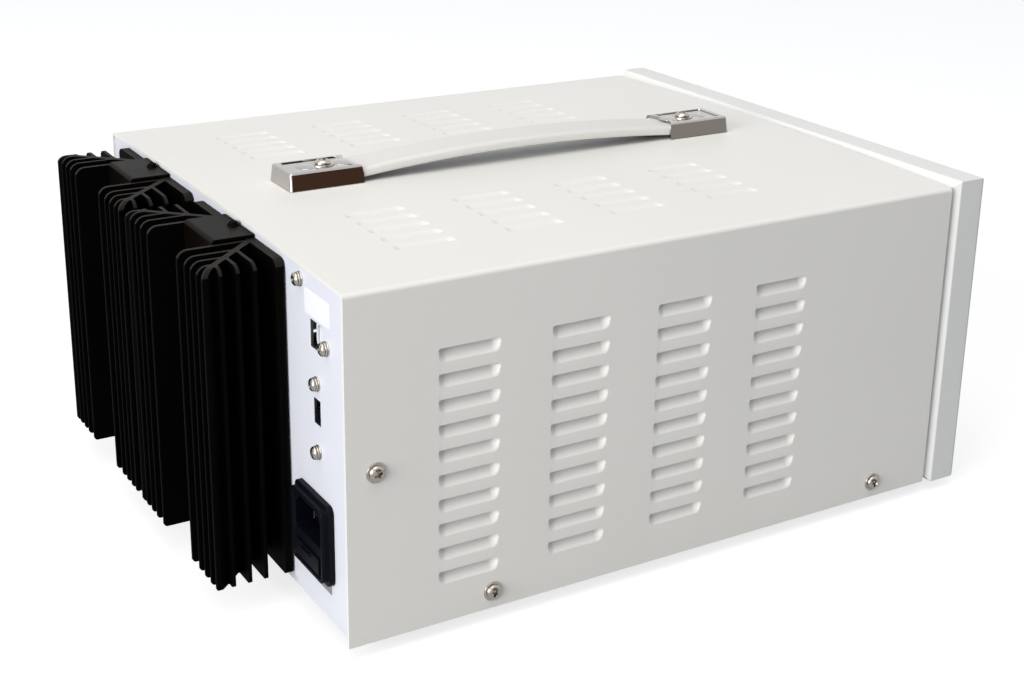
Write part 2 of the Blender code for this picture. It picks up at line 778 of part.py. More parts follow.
def sink_envelope(centre):
    """What a sink fits in, with the rounding that the ends of all its fins share."""
    bm = bmesh.new()
    block(bm, (centre - sink_width / 2, sink_back, sink_bottom),
          (centre + sink_width / 2, sink_tip, sink_top))
    for height, radius, steps in ((sink_top, sink_fin_round, 3), (sink_bottom, sink_foot_round, 1)):
        rim = [edge for edge in bm.edges
               if all(abs(vert.co.z - height) < gap / 2 for vert in edge.verts)
               and max(vert.co.y for vert in edge.verts) > sink_tip - gap]
        bmesh.ops.bevel(bm, geom=rim, offset=radius, offset_type="OFFSET", segments=steps,
                        profile=0.5, affect="EDGES", material=-1)
    return bm


def make_heat_sinks():
    half_outline = sink_outline()
    outline = half_outline + [(-x, y) for x, y in reversed(half_outline)]
    for name, centre in zip(("heat_sink_near", "heat_sink_far"), sink_centre):
        bm = bmesh.new()
        extruded(bm, [(centre + x, sink_back + y, sink_bottom - overlap) for x, y in outline],
                 (0, 0, sink_top - sink_bottom + 2 * overlap))
        sink = add(name, bm, black_anodised)
        envelope = add(name + "_envelope", sink_envelope(centre), None, cutters)
        boolean(sink, envelope, "INTERSECT")

        bend = transistor_cover_bend
        flap_top = sink_top + gap + sheet
        back = sink_back
        front = sink_back + transistor_cover_out
        outline_side = [(back, flap_top - sheet), (front - sheet, flap_top - sheet),
                        (front - sheet, sink_bottom + bend), (front, sink_bottom + bend),
                        (front, flap_top - bend), (front - bend * 0.3, flap_top - bend * 0.3),
                        (front - bend, flap_top), (back, flap_top)]
        shield = bmesh.new()
        left = centre - transistor_cover_width / 2
        extruded(shield, [(left, y, z) for y, z in outline_side], (transistor_cover_width, 0, 0))
        add(name.replace("heat_sink", "transistor_cover"), shield, black_enamel)

        middle = (sink_top + sink_bottom) / 2
        bm = bmesh.new()
        wide, high = transistor_flange
        seat = sink_back + sink_base + gap
        ear, waist = transistor_ear, transistor_waist
        shape = [(wide / 2, -waist), (wide / 2, waist), (ear, high / 2), (-ear, high / 2),
                 (-wide / 2, waist), (-wide / 2, -waist), (-ear, -high / 2), (ear, -high / 2)]
        extruded(bm, [(centre + x, seat, middle + z) for x, z in shape],
                 (0, transistor_flange_thick, 0))
        transistor = add(name.replace("heat_sink", "power_transistor"), bm, nickel)
        can = bmesh.new()
        rod(can, (centre, middle), transistor_can_radius, seat + transistor_flange_thick / 2,
            seat + transistor_can_height, 12)
        boolean(transistor, add(name + "_can", can, None, cutters), "UNION")


# Mains inlet with its fuse drawer

def keyed(width, height, key):
    """A rectangle with its two top corners cut off."""
    w, h = width / 2, height / 2
    return [(-w, -h), (w, -h), (w, h - key), (w - key, h), (-w + key, h), (-w, h - key)]


def make_inlet():
    x0, z0 = inlet_place
    flange_back = rear_face + gap
    front = rear_face + inlet_proud
    bm = bmesh.new()
    outer = rounded(*inlet_flange, inlet_corner)
    extruded(bm, [(x0 + x, flange_back, z0 + z) for x, z in outer], (0, inlet_step, 0))
    body = add("inlet_body", bm, black_plastic)
    upper = bmesh.new()
    step_size = tuple(size - inlet_corner for size in inlet_flange)
    extruded(upper, [(x0 + x, flange_back + inlet_step - overlap, z0 + z)
                     for x, z in rounded(*step_size, inlet_corner - overlap)],
             (0, front - flange_back - inlet_step + overlap, 0))
    boolean(body, add("inlet_step", upper, None, cutters), "UNION")
    shell = bmesh.new()
    plate(shell, inlet_place, inlet_body_size, rear_face - inlet_body_depth, flange_back + overlap)
    boolean(body, add("inlet_shell", shell, None, cutters), "UNION")
    socket = bmesh.new()
    extruded(socket, [(x0 + x, front - socket_depth, z0 + socket_above + z)
                      for x, z in keyed(*socket_size, socket_key)], (0, socket_depth + overlap, 0))
    slot = bmesh.new()
    slot_size = tuple(size + 2 * slide_gap for size in drawer_size)
    plate(slot, (x0, z0 - drawer_below), slot_size, front - drawer_depth - gap, front + overlap)
    boolean(body, add("inlet_socket", socket, None, cutters))
    boolean(body, add("inlet_drawer_slot", slot, None, cutters))
    for name, (dx, dz) in pin_places.items():
        pin = bmesh.new()
        plate(pin, (x0 + dx, z0 + socket_above + dz), pin_size, front - socket_depth - overlap,
              front - pin_recess)
        boolean(body, add("inlet_pin_" + name, pin, None, cutters), "UNION")

    drawer = bmesh.new()
    plate(drawer, (x0, z0 - drawer_below), drawer_size, front - drawer_depth, front)
    made = add("fuse_drawer", drawer, black_plastic)
    lip = bmesh.new()
    plate(lip, (x0, z0 - drawer_below + drawer_size[1] / 2 - drawer_lip), (drawer_lip_width, drawer_lip),
          front - overlap, front + drawer_lip)
    boolean(made, add("fuse_drawer_lip", lip, None, cutters), "UNION")
    nest = bmesh.new()
    block(nest, (x0 - drawer_size[0] / 2 + fuse_wall, front - drawer_depth - overlap,
                 z0 - drawer_below - fuse_radius),
          (x0 + drawer_size[0] / 2 - fuse_wall, front - fuse_wall, z0 - drawer_below + drawer_size[1]))
    boolean(made, add("fuse_nest", nest, None, cutters))
    fuse = bmesh.new()
    rod(fuse, (x0, z0 - drawer_below + gap), fuse_radius, front - drawer_depth + gap,
        front - fuse_wall - gap, 8)
    add("fuse_link", fuse, nickel)


# Small rear fittings

def make_usb_socket():
    x0, z0 = usb_place
    front, back = rear_face - gap, rear_face - gap - usb_depth
    outer = tuple(size - 2 * gap for size in usb_hole)
    inner = tuple(size - 2 * usb_wall for size in outer)
    bm = bmesh.new()
    plate(bm, usb_place, outer, back, front)
    socket = add("usb_socket", bm, nickel)
    hollow = bmesh.new()
    extruded(hollow, [(x0 + x, back + usb_wall, z0 + z) for x, z in keyed(*inner, usb_key)],
             (0, usb_depth, 0))
    boolean(socket, add("usb_hollow", hollow, None, cutters))
    tongue = bmesh.new()
    plate(tongue, usb_place, (inner[0] * 0.62, inner[1] * 0.36), back + usb_wall / 2,
          front - usb_tongue_back)
    boolean(socket, add("usb_tongue", tongue, None, cutters), "UNION")


def make_voltage_selector():
    x0, z0 = selector_place
    front = rear_inner - gap
    bm = bmesh.new()
    plate(bm, selector_place, tuple(size + 4 * selector_wall for size in selector_hole),
          front - selector_depth, front)
    body = add("voltage_selector_body", bm, black_plastic)
    well = bmesh.new()
    plate(well, selector_place, selector_hole, front - selector_well, front + overlap)
    boolean(body, add("selector_well", well, None, cutters))
    slider_high = selector_hole[1] - 2 * gap - selector_travel
    low = z0 - selector_hole[1] / 2 + gap
    slider = bmesh.new()
    block(slider, (x0 - selector_hole[0] / 2 + slide_gap, front - selector_well + gap, low),
          (x0 + selector_hole[0] / 2 - slide_gap, rear_face - gap, low + slider_high))
    made = add("selector_slider", slider, black_plastic)
    groove = bmesh.new()
    plate(groove, (x0, low + slider_high / 2), (selector_hole[0], selector_groove),
          rear_face - selector_groove, rear_face + overlap)
    boolean(made, add("selector_groove", groove, None, cutters))


# Front frame, panel and display

def make_bezel():
    wide, high = 2 * bezel_half, bezel_top - bezel_bottom
    middle = (bezel_top + bezel_bottom) / 2
    bm = bmesh.new()
    plate(bm, (0, middle), (wide, high), bezel_front, bezel_rear)
    corners, front_edges, rear_edges = [], [], []
    for edge in bm.edges:
        one, two = (vert.co for vert in edge.verts)
        if abs(one.y - two.y) > bezel_depth / 2:
            corners.append(edge)
        elif one.y < (bezel_front + bezel_rear) / 2:
            front_edges.append(edge)
        else:
            rear_edges.append(edge)
    bmesh.ops.bevel(bm, geom=rear_edges, offset=bezel_rear_bevel, offset_type="OFFSET",
                    segments=1, profile=0.5, affect="EDGES", material=-1)
    front_edges = [edge for edge in bm.edges
                   if all(abs(vert.co.y - bezel_front) < gap for vert in edge.verts)]
    bmesh.ops.bevel(bm, geom=front_edges, offset=bezel_front_round, offset_type="OFFSET",
                    segments=3, profile=0.5, affect="EDGES", material=-1)
    bezel = add("front_bezel", bm, grey_plastic)
    window = bmesh.new()
    extruded(window, [(x, bezel_front - overlap, middle + z) for x, z in
                      rounded(wide - 2 * bezel_rim, high - 2 * bezel_rim, bezel_inner_round)],
             (0, bezel_depth + 2 * overlap, 0))
    boolean(bezel, add("bezel_window", window, None, cutters))
    pocket = bmesh.new()
    plate(pocket, (0, middle), (wide - 2 * bezel_wall, high - 2 * bezel_wall),
          panel_front - gap, bezel_rear + overlap)
    boolean(bezel, add("bezel_pocket", pocket, None, cutters))


def make_front_panel():
    """Panel with its cut-outs, folded back along the top and the bottom."""
    bm = bmesh.new()
    block(bm, (-panel_half, panel_front, panel_bottom), (panel_half, panel_back, panel_top))
    panel = add("front_panel", bm, panel_paint)
    for name, low in (("bottom", panel_bottom), ("top", panel_top - sheet)):
        flange = bmesh.new()
        block(flange, (-panel_half, panel_back - panel_thick / 2, low),
              (panel_half, panel_flange_back, low + sheet))
        boolean(panel, add("panel_flange_" + name, flange, None, cutters), "UNION")
    holes = bmesh.new()
    through = (panel_front - overlap, panel_back + overlap)
    window_hole = tuple(size - 2 * window_lap for size in window_size)
    plate(holes, (0, window_centre_z), window_hole, *through)
    for x in knob_places.values():
        rod(holes, (x, knob_row_z), spindle_radius + slide_gap, *through, 12)
    for place in button_places.values():
        plate(holes, place, (button_size + 2 * slide_gap,) * 2, *through)
    plate(holes, rocker_place, tuple(size - 2 * rocker_frame_lap for size in rocker_frame), *through)
    for x in post_centres().values():
        rod(holes, (x, post_row_z), post_shank_radius + gap, *through, 10)
    boolean(panel, add("front_panel_holes", holes, None, cutters))


def make_display():
    bm = bmesh.new()
    plate(bm, (0, window_centre_z), window_size, panel_back + gap, panel_back + gap + window_thick)
    plate_front = tuple(size - 2 * window_lap - 2 * slide_gap for size in window_size)
    window = add("display_window", bm, smoked_acrylic)
    raised = bmesh.new()
    plate(raised, (0, window_centre_z), plate_front, panel_front + gap, panel_back + gap + overlap)
    boolean(window, add("window_raised", raised, None, cutters), "UNION")
    wide, high = (size - 2 * inset for size, inset in zip(window_size, digit_inset))
    front = panel_back + 2 * gap + window_thick
    back = front + digit_depth
    board = bmesh.new()
    plate(board, (0, window_centre_z), (wide + 2 * display_board_margin[0],
          high + 2 * display_board_margin[1]), back, back + board_thick)
    display = add("display_board", board, board_green)
    digits = bmesh.new()
    pitch = (wide + digit_spacing) / digit_blocks
    for number in range(digit_blocks):
        x = (number - (digit_blocks - 1) / 2) * pitch
        plate(digits, (x, window_centre_z), (pitch - digit_spacing, high), front,
              back + board_thick / 2)
    boolean(display, add("display_digits", digits, None, cutters), "UNION")


def make_control_board():
    """The board behind the knobs, with its potentiometers and switches."""
    back = control_board_front + board_thick
    end = panel_half - control_board_inset
    low = panel_bottom + sheet + gap
    bm = bmesh.new()
    block(bm, (-end, control_board_front, low), (end, back, knob_row_z + control_board_above))
    board = add("control_board", bm, board_green)
    pots, bores = bmesh.new(), bmesh.new()
    for x in knob_places.values():
        rod(pots, (x, knob_row_z), pot_radius, control_board_front - pot_depth,
            control_board_front + board_thick / 2, 12)
        rod(bores, (x, knob_row_z), spindle_radius + slide_gap,
            control_board_front - pot_depth - overlap, control_board_front - 2 * MM, 12)
    for place in button_places.values():
        plate(pots, place, (switch_size,) * 2, control_board_front - switch_depth,
              control_board_front + board_thick / 2)
        plate(bores, place, (button_stem + 2 * slide_gap,) * 2,
              control_board_front - switch_depth - overlap, control_board_front - 1 * MM)
    boolean(board, add("board_parts", pots, None, cutters), "UNION")
    boolean(board, add("board_bores", bores, None, cutters))
    rocker_space = bmesh.new()
    plate(rocker_space, rocker_place, tuple(size + 2 * MM for size in rocker_frame),
          control_board_front - overlap, back + overlap)
    boolean(board, add("board_notch", rocker_space, None, cutters))


def make_knobs():
    for name, x in knob_places.items():
        back = panel_front - knob_clear
        front = back - knob_length
        bm = bmesh.new()
        rod(bm, (x, knob_row_z), knob_skirt_radius, back - knob_skirt, back, 24)
        knob = add(name, bm, dark_knob)
        grip, spindle = bmesh.new(), bmesh.new()
        made = rod(grip, (x, knob_row_z), knob_radius, front, back - knob_skirt / 2, 24)
        for vert in made:
            if vert.co.y < (front + back) / 2:
                axis = Vector((x, vert.co.y, knob_row_z))
                vert.co = axis + (vert.co - axis) * knob_taper
        rod(spindle, (x, knob_row_z), spindle_radius, back - knob_skirt / 2,
            control_board_front - 3 * MM, 12)
        boolean(knob, add(name + "_grip", grip, None, cutters), "UNION")
        boolean(knob, add(name + "_spindle", spindle, None, cutters), "UNION")
        mark = bmesh.new()
        block(mark, (x - knob_mark[0] / 2, front - overlap, knob_row_z + knob_radius * 0.35),
              (x + knob_mark[0] / 2, front + knob_mark[1], knob_row_z + knob_radius))
        boolean(knob, add(name + "_mark", mark, None, cutters))


def make_buttons():
    for name, place in button_places.items():
        bm = bmesh.new()
        finish = green_plastic if name == "output_button" else button_plastic
        plate(bm, place, (button_size,) * 2, panel_front - button_proud, panel_back + gap + overlap)
        button = add(name, bm, finish)
        flange = bmesh.new()
        flange_size = button_size + 2 * slide_gap + 2 * button_flange
        plate(flange, place, (flange_size,) * 2, panel_back + gap,
              panel_back + gap + button_flange_thick)
        stem = bmesh.new()
        stem_end = control_board_front - switch_depth + 1.5 * MM
        plate(stem, place, (button_stem,) * 2, panel_back + gap + button_flange_thick / 2, stem_end)
        boolean(button, add(name + "_flange", flange, None, cutters), "UNION")
        boolean(button, add(name + "_stem", stem, None, cutters), "UNION")


def rocker_pivot():
    return panel_front + rocker_pivot_behind


def make_power_switch():
    x0, z0 = rocker_place
    front = panel_front - gap - rocker_frame_proud
    bm = bmesh.new()
    plate(bm, rocker_place, rocker_frame, front, panel_front - gap)
    body = add("power_switch_body", bm, black_plastic)
    shell = bmesh.new()
    shell_size = tuple(size - 2 * rocker_frame_lap - 2 * gap for size in rocker_frame)
    plate(shell, rocker_place, shell_size, panel_front - gap - overlap,
          panel_front + rocker_body_depth)
    boolean(body, add("power_switch_shell", shell, None, cutters), "UNION")
    well = bmesh.new()
    plate(well, rocker_place, rocker_opening, front - overlap, rocker_pivot() + rocker_opening[1] / 2)
    boolean(body, add("power_switch_well", well, None, cutters))

    # The rocker's ends are arcs about its pivot, and its front is two faces that meet in a
    # shallow V. It is drawn level, then tilted to its resting side.
    pivot = rocker_pivot()
    reach = rocker_opening[1] / 2 - slide_gap
    lean = rocker_throw / 2
    arc_steps = 3
    turns = [rocker_end_angle * (1 - 2 * step / arc_steps) for step in range(arc_steps + 1)]
    outline = [(-reach * sin(turn), reach * cos(turn)) for turn in turns]
    outline += [(-reach * sin(turn), -reach * cos(turn)) for turn in reversed(turns)]
    outline.append((reach * cos(rocker_end_angle) * tan(lean) - reach * sin(rocker_end_angle), 0))
    tilted = [(y * cos(lean) - z * sin(lean), y * sin(lean) + z * cos(lean)) for y, z in outline]
    rocker = bmesh.new()
    left = x0 - rocker_opening[0] / 2 + slide_gap
    extruded(rocker, [(left, pivot + y, z0 + z) for y, z in tilted],
             (rocker_opening[0] - 2 * slide_gap, 0, 0))
    add("power_rocker", rocker, black_plastic)


# Binding posts

def post_centres():
    """Places of the posts: groups with equal spaces between them, up to the row's far end."""
    inside = sum(count - 1 for count in post_counts.values()) * post_pitch
    space = (2 * row_half - inside) * post_group_share
    places, at = {}, row_half - inside - (len(post_counts) - 1) * space
    for group, count in post_counts.items():
        for number in range(count):
            places["%s_%d" % (group, number + 1)] = at + number * post_pitch
        at += (count - 1) * post_pitch + space
    return places


def make_posts():
    colours = {"1": black_plastic, "2": green_plastic, "3": red_plastic}
    collar_front = panel_front - gap - post_collar
    for key, x in post_centres().items():
        group, number = key.split("_")
        finish = red_plastic if group == "fixed" and number == "2" else colours[number]
        bm = bmesh.new()
        rod(bm, (x, post_row_z), post_collar_radius, collar_front, panel_front - gap, 10)
        stud = add("post_stud_" + key, bm, nickel)
        pieces = {"front": (post_stud_radius, post_front, collar_front + overlap),
                  "shank": (post_shank_radius, panel_front - gap - overlap, panel_back + gap + overlap)}
        for piece, (radius, y_from, y_to) in pieces.items():
            tool = bmesh.new()
            rod(tool, (x, post_row_z), radius, y_from, y_to, 10)
            boolean(stud, add("%s_%s" % (key, piece), tool, None, cutters), "UNION")
        nut = bmesh.new()
        rod(nut, (x, post_row_z), post_nut_across / sqrt(3), panel_back + gap,
            panel_back + gap + post_nut_thick, 6)
        boolean(stud, add(key + "_nut", nut, None, cutters), "UNION")
        socket = bmesh.new()
        rod(socket, (x, post_row_z), post_socket_radius, post_front - overlap, panel_front - gap, 8)
        boolean(stud, add(key + "_socket", socket, None, cutters))

        front = collar_front - gap - post_cap_length
        cap = bmesh.new()
        rod(cap, (x, post_row_z), post_cap_radius, front, collar_front - gap, 14)
        made = add("post_cap_" + key, cap, finish)
        bore = bmesh.new()
        rod(bore, (x, post_row_z), post_stud_radius + slide_gap, front - overlap, collar_front, 10)
        boolean(made, add(key + "_bore", bore, None, cutters))


# Inside the case

def make_transformer():
    x0, y0 = transformer_at
    wide, deep, high = transformer_core_size
    bottom = tray_top + gap
    bm = bmesh.new()
    block(bm, (x0 - wide / 2, y0 - deep / 2, bottom), (x0 + wide / 2, y0 + deep / 2, bottom + high))
    core = add("transformer_core", bm, core_steel)
    across, tall = transformer_window
    windows = bmesh.new()
    middle = bottom + high / 2
    for side in (-1, 1):
        x = x0 + side * (transformer_leg + across) / 2
        plate(windows, (x, middle), (across, tall), y0 - deep / 2 - overlap, y0 + deep / 2 + overlap)
    boolean(core, add("core_windows", windows, None, cutters))
    winding = bmesh.new()
    outer = (transformer_leg / 2 + across - gap, deep / 2 + transformer_bulge)
    block(winding, (x0 - outer[0], y0 - outer[1], middle - tall / 2 + gap),
          (x0 + outer[0], y0 + outer[1], middle + tall / 2 - gap))
    uprights = [edge for edge in winding.edges
                if abs(edge.verts[0].co.z - edge.verts[1].co.z) > tall / 2]
    bmesh.ops.bevel(winding, geom=uprights, offset=transformer_bulge * 0.8, offset_type="OFFSET",
                    segments=3, profile=0.5, affect="EDGES", material=-1)
    coil = add("transformer_coil", winding, winding_tape)
    leg = bmesh.new()
    block(leg, (x0 - transformer_leg / 2 - gap, y0 - deep / 2 - gap, middle - tall / 2 - overlap),
          (x0 + transformer_leg / 2 + gap, y0 + deep / 2 + gap, middle + tall / 2 + overlap))
    boolean(coil, add("coil_bore", leg, None, cutters))


def make_main_board():
    x0, y0 = main_board_at
    wide, deep = main_board_size
    bottom = tray_top + gap + standoff_height
    bm = bmesh.new()
    block(bm, (x0 - wide / 2, y0 - deep / 2, bottom), (x0 + wide / 2, y0 + deep / 2, bottom + board_thick))
    board = add("main_board", bm, board_green)
    feet = bmesh.new()
    inset = 2 * standoff_radius
    for x in (x0 - wide / 2 + inset, x0 + wide / 2 - inset):
        for y in (y0 - deep / 2 + inset, y0 + deep / 2 - inset):
            post_up(feet, x, y, standoff_radius, tray_top + gap, bottom + board_thick / 2, 8)
    boolean(board, add("board_standoffs", feet, None, cutters), "UNION")
    for name, (dx, dy) in capacitor_offsets.items():
        seat = bottom + board_thick + gap
        ring = capacitor_ring
        top = seat + capacitor_height
        profile = [(0, top - ring), (capacitor_radius - 2 * ring, top - ring),
                   (capacitor_radius - 2 * ring, top), (capacitor_radius, top - ring),
                   (capacitor_radius, seat), (0, seat)]
        made = turned(name, profile, capacitor_sleeve, 16)
        made.location = (x0 + dx, y0 + dy, 0)


make_cover()
make_handle()
make_tray()
make_rear_panel()
make_feet()
make_heat_sinks()
make_inlet()
make_usb_socket()
make_voltage_selector()
make_bezel()
make_front_panel()
make_display()
make_control_board()
make_knobs()
make_buttons()
make_power_switch()
make_posts()
make_transformer()
make_main_board()
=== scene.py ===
# %% [markdown]
# # A triple output power supply, seen from behind
#
# The object is a bench power supply: a folded steel case with pressed louvres, two black
# extruded heat sinks on the rear panel, a mains inlet, a strap handle, and the controls on the
# front. The CAD model gives every solid its size and place. This script dresses it: it loads
# that model as a fixed frame, and makes finer pieces and real finishes around it.

from math import copysign, cos, pi, radians, sin, sqrt

import bmesh
import bpy
from mathutils import Matrix, Vector


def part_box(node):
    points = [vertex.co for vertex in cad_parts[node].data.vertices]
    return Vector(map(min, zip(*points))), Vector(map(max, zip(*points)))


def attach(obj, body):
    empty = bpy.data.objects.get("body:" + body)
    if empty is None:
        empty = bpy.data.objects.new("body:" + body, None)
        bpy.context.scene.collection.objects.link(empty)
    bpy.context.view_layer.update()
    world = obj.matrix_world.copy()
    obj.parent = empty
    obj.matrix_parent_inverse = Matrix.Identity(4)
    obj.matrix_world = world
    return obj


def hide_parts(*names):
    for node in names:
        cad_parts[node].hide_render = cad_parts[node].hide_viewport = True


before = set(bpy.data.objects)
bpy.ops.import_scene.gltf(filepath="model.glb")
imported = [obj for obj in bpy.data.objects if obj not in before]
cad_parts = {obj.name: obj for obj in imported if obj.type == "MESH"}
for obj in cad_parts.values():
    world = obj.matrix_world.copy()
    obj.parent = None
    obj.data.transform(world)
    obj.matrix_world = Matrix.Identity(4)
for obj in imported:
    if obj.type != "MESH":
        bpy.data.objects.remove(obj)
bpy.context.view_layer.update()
cover_low, cover_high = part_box("cover")
print("frame loaded with", len(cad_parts), "nodes")

# %% [markdown]
# ## Where things are
#
# A maker measures a case from its own edges, in millimetres: x from the middle, y back from
# the cover's front edge, z up from the cover's bottom edge. One matrix carries points from
# there to the frame, which is in metres, so that every size below reads as it would on a
# drawing.

# %% The case's own axes
MM = 0.001
case_corner = Vector((0, cover_low.y, cover_low.z))
to_frame = Matrix.Translation(case_corner) @ Matrix.Scale(MM, 4)

half_width = (cover_high.x - cover_low.x) / 2 / MM
depth = (cover_high.y - cover_low.y) / MM
sheet = 1.2
bend_radius = 2.0
crown_rise = 2.0
side_height = (cover_high.z - cover_low.z) / MM - crown_rise
print("case: %.1f wide, %.1f deep, %.1f high" % (2 * half_width, depth, side_height))


def crown(x):
    """Height of the cover's top face at x."""
    share = min(abs(x) / (half_width - bend_radius), 1)
    return side_height + crown_rise * (1 - share ** 2)


def span(solid):
    """The lowest and highest corners of a CAD solid, in the case's millimetres."""
    return [(corner - case_corner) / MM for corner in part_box(solid)]


def middle_of(solid):
    """The middle of a CAD solid."""
    low, high = span(solid)
    return (low + high) / 2


# %% [markdown]
# ## Camera and light
#
# The photograph looks down on the rear left corner with a long lens. The camera's place and
# turn were worked out from the corners of the case, whose sizes are known. The background is
# white paper, so the floor and the world are white to the camera, and lamps do the lighting:
# a broad soft one above, a little to the camera's side so that it reaches into the louvres,
# and one behind the object that brightens the rear panel. The side gets only what they spill,
# so it comes out greyer, as in the photograph.

# %% Camera
yaw, pitch, roll = radians(121.2), radians(18.47), radians(1.01)
camera_at = Vector((-625.5, 518.9, 338.4))
forward = Vector((sin(yaw) * cos(pitch), cos(yaw) * cos(pitch), -sin(pitch)))
level = Vector((cos(yaw), -sin(yaw), 0))
above = level.cross(forward)
across = level * cos(roll) + above * sin(roll)
upward = above * cos(roll) - level * sin(roll)

camera = bpy.data.objects.new("camera", bpy.data.cameras.new("camera"))
bpy.context.scene.collection.objects.link(camera)
camera.matrix_world = Matrix.Translation(to_frame @ camera_at) @ Matrix(
    (across, upward, -forward)).transposed().to_4x4()
camera.data.sensor_width = 36
camera.data.lens = 57.14
camera.data.shift_x = -0.0127
camera.data.shift_y = -0.0830
camera.data.clip_start, camera.data.clip_end = 0.02, 60
bpy.context.scene.camera = camera
print("camera at", [round(value) for value in camera_at])

# %% Small functions for colours and nodes


def linear(hex_colour):
    """An sRGB hex colour as the linear values that a shader takes."""
    parts = [int(hex_colour[at:at + 2], 16) / 255 for at in (1, 3, 5)]
    return (*[p / 12.92 if p <= 0.04045 else ((p + 0.055) / 1.055) ** 2.4 for p in parts], 1)


def emptied(made):
    """The node tree of a new world or material, with nothing in it yet."""
    made.use_nodes = True
    made.node_tree.nodes.clear()
    return made.node_tree


def node(tree, kind, settings=None, links=None):
    """Add a shader node with its settings and links."""
    made = tree.nodes.new("ShaderNode" + kind)
    for key, value in (settings or {}).items():
        if isinstance(key, int) or key in made.inputs:
            made.inputs[key].default_value = value
        else:
            setattr(made, key, value)
    for key, source in (links or {}).items():
        tree.links.new(source, made.inputs[key])
    return made


print("mid grey, as a shader takes it: %.3f" % linear("#808080")[0])

# %% Floor, world and lamps
world_light = 0.36
floor_half, floor_glow, floor_in_mirrors = 8, 0.73, 0.25
scene = bpy.context.scene
scene.view_settings.view_transform = "Standard"


def studio_piece(name, bm, material):
    """Something that stands in the studio and is no part of the object."""
    made = bpy.data.objects.new(name, bpy.data.meshes.new(name))
    bm.to_mesh(made.data)
    bm.free()
    made.data.materials.append(material)
    scene.collection.objects.link(made)
    return made


# The world: plain white where it is seen, and a weak and cool light for everything else
world = bpy.data.worlds.new("studio")
scene.world = world
tree = emptied(world)
rays = node(tree, "LightPath").outputs
seen = node(tree, "Math", {"operation": "MAXIMUM"},
            {0: rays["Is Camera Ray"], 1: rays["Is Glossy Ray"]})
seen = node(tree, "Math", {"operation": "MAXIMUM"},
            {0: seen.outputs[0], 1: rays["Is Transmission Ray"]})
strength = node(tree, "MapRange", {"To Min": world_light, "To Max": 1.0},
                {"Value": seen.outputs[0]})
tint = node(tree, "MixRGB", {"Color1": linear("#E9F0FF"), "Color2": linear("#FFFFFF")},
            {"Fac": seen.outputs[0]})
sky = node(tree, "Background", {}, {"Color": tint.outputs[0], "Strength": strength.outputs[0]})
node(tree, "OutputWorld", {}, {"Surface": sky.outputs[0]})

# White paper under the lamps: a glow that lights nothing lifts what is seen of it to white,
# and lifts it less in mirrors, so that the chrome keeps its tones
floor_white = bpy.data.materials.new("white_paper")
tree = emptied(floor_white)
rays = node(tree, "LightPath").outputs
paper = node(tree, "BsdfDiffuse", {"Color": linear("#AAAAAA")})
mirrored = node(tree, "Math", {"operation": "MULTIPLY", 1: floor_in_mirrors},
                {0: rays["Is Glossy Ray"]})
seen = node(tree, "Math", {"operation": "MAXIMUM"},
            {0: rays["Is Camera Ray"], 1: rays["Is Transmission Ray"]})
lifted = node(tree, "Math", {"operation": "MULTIPLY_ADD", 1: floor_glow},
              {0: seen.outputs[0], 2: mirrored.outputs[0]})
glow = node(tree, "Emission", {"Color": linear("#FFFFFF")}, {"Strength": lifted.outputs[0]})
lift = node(tree, "AddShader", {}, {0: paper.outputs[0], 1: glow.outputs[0]})
node(tree, "OutputMaterial", {}, {"Surface": lift.outputs[0]})

bm = bmesh.new()
bmesh.ops.create_grid(bm, x_segments=1, y_segments=1, size=floor_half)
studio_piece("floor", bm, floor_white)


def lamp(name, place, target, size, power, colour):
    """A square soft lamp aimed at a target, in metres."""
    light = bpy.data.lights.new(name, "AREA")
    light.size = size
    light.energy = power
    light.color = linear(colour)[:3]
    made = bpy.data.objects.new(name, light)
    made.location = place
    made.rotation_euler = (Vector(target) - Vector(place)).to_track_quat("-Z", "Y").to_euler()
    scene.collection.objects.link(made)
    return made


middle = Vector((0, 0, 0.08))
lamps = [lamp("overhead", (-0.38, 0.45, 2.35), middle, 1.9, 29, "#FFFBF3"),
         lamp("behind", (-0.84, 2.2, 0.78), middle, 1.5, 52, "#FCFBFA")]
print("lamps:", *["%s %d W" % (each.name, each.data.energy) for each in lamps])

# %% [markdown]
# ## Flags for the chrome
#
# In an all white room chrome looks like white plastic. Studios stand dark cards, called flags,
# where polished metal will mirror them. These are seen by glossy rays alone, so they neither
# show nor shade anything. The brown one fills the long wall of the rear cap, and the grey one
# that of the front cap. The dark one gives the screws on the rear panel their contrast.

# %% Flags
card_half_height = 0.5
flags = [("brown", "#583E31", (-1.55, -0.45, 0.35), 0.65, (1, 0, 0)),
         ("grey", "#B0ABA4", (-1.55, -1.75, 0.35), 0.65, (1, 0, 0)),
         ("dark", "#0F0E0D", (0.95, 2.6, 0.75), 0.32, (0, -1, 0))]
for name, colour, spot, half, front in flags:
    card = bpy.data.materials.new("card_" + name)
    tree = emptied(card)
    glow = node(tree, "Emission", {"Color": linear(colour)})
    node(tree, "OutputMaterial", {}, {"Surface": glow.outputs[0]})
    bm = bmesh.new()
    bmesh.ops.create_grid(bm, x_segments=1, y_segments=1, size=1)
    bmesh.ops.scale(bm, vec=(half, card_half_height, 1), verts=bm.verts)
    stand = Vector(front).to_track_quat("Z", "Y").to_matrix().to_4x4()
    bmesh.ops.transform(bm, matrix=Matrix.Translation(spot) @ stand, verts=bm.verts)
    flag = studio_piece("flag_" + name, bm, card)
    for kind in ("camera", "diffuse", "transmission", "volume_scatter", "shadow"):
        setattr(flag, "visible_" + kind, False)
print("flags:", len(flags))

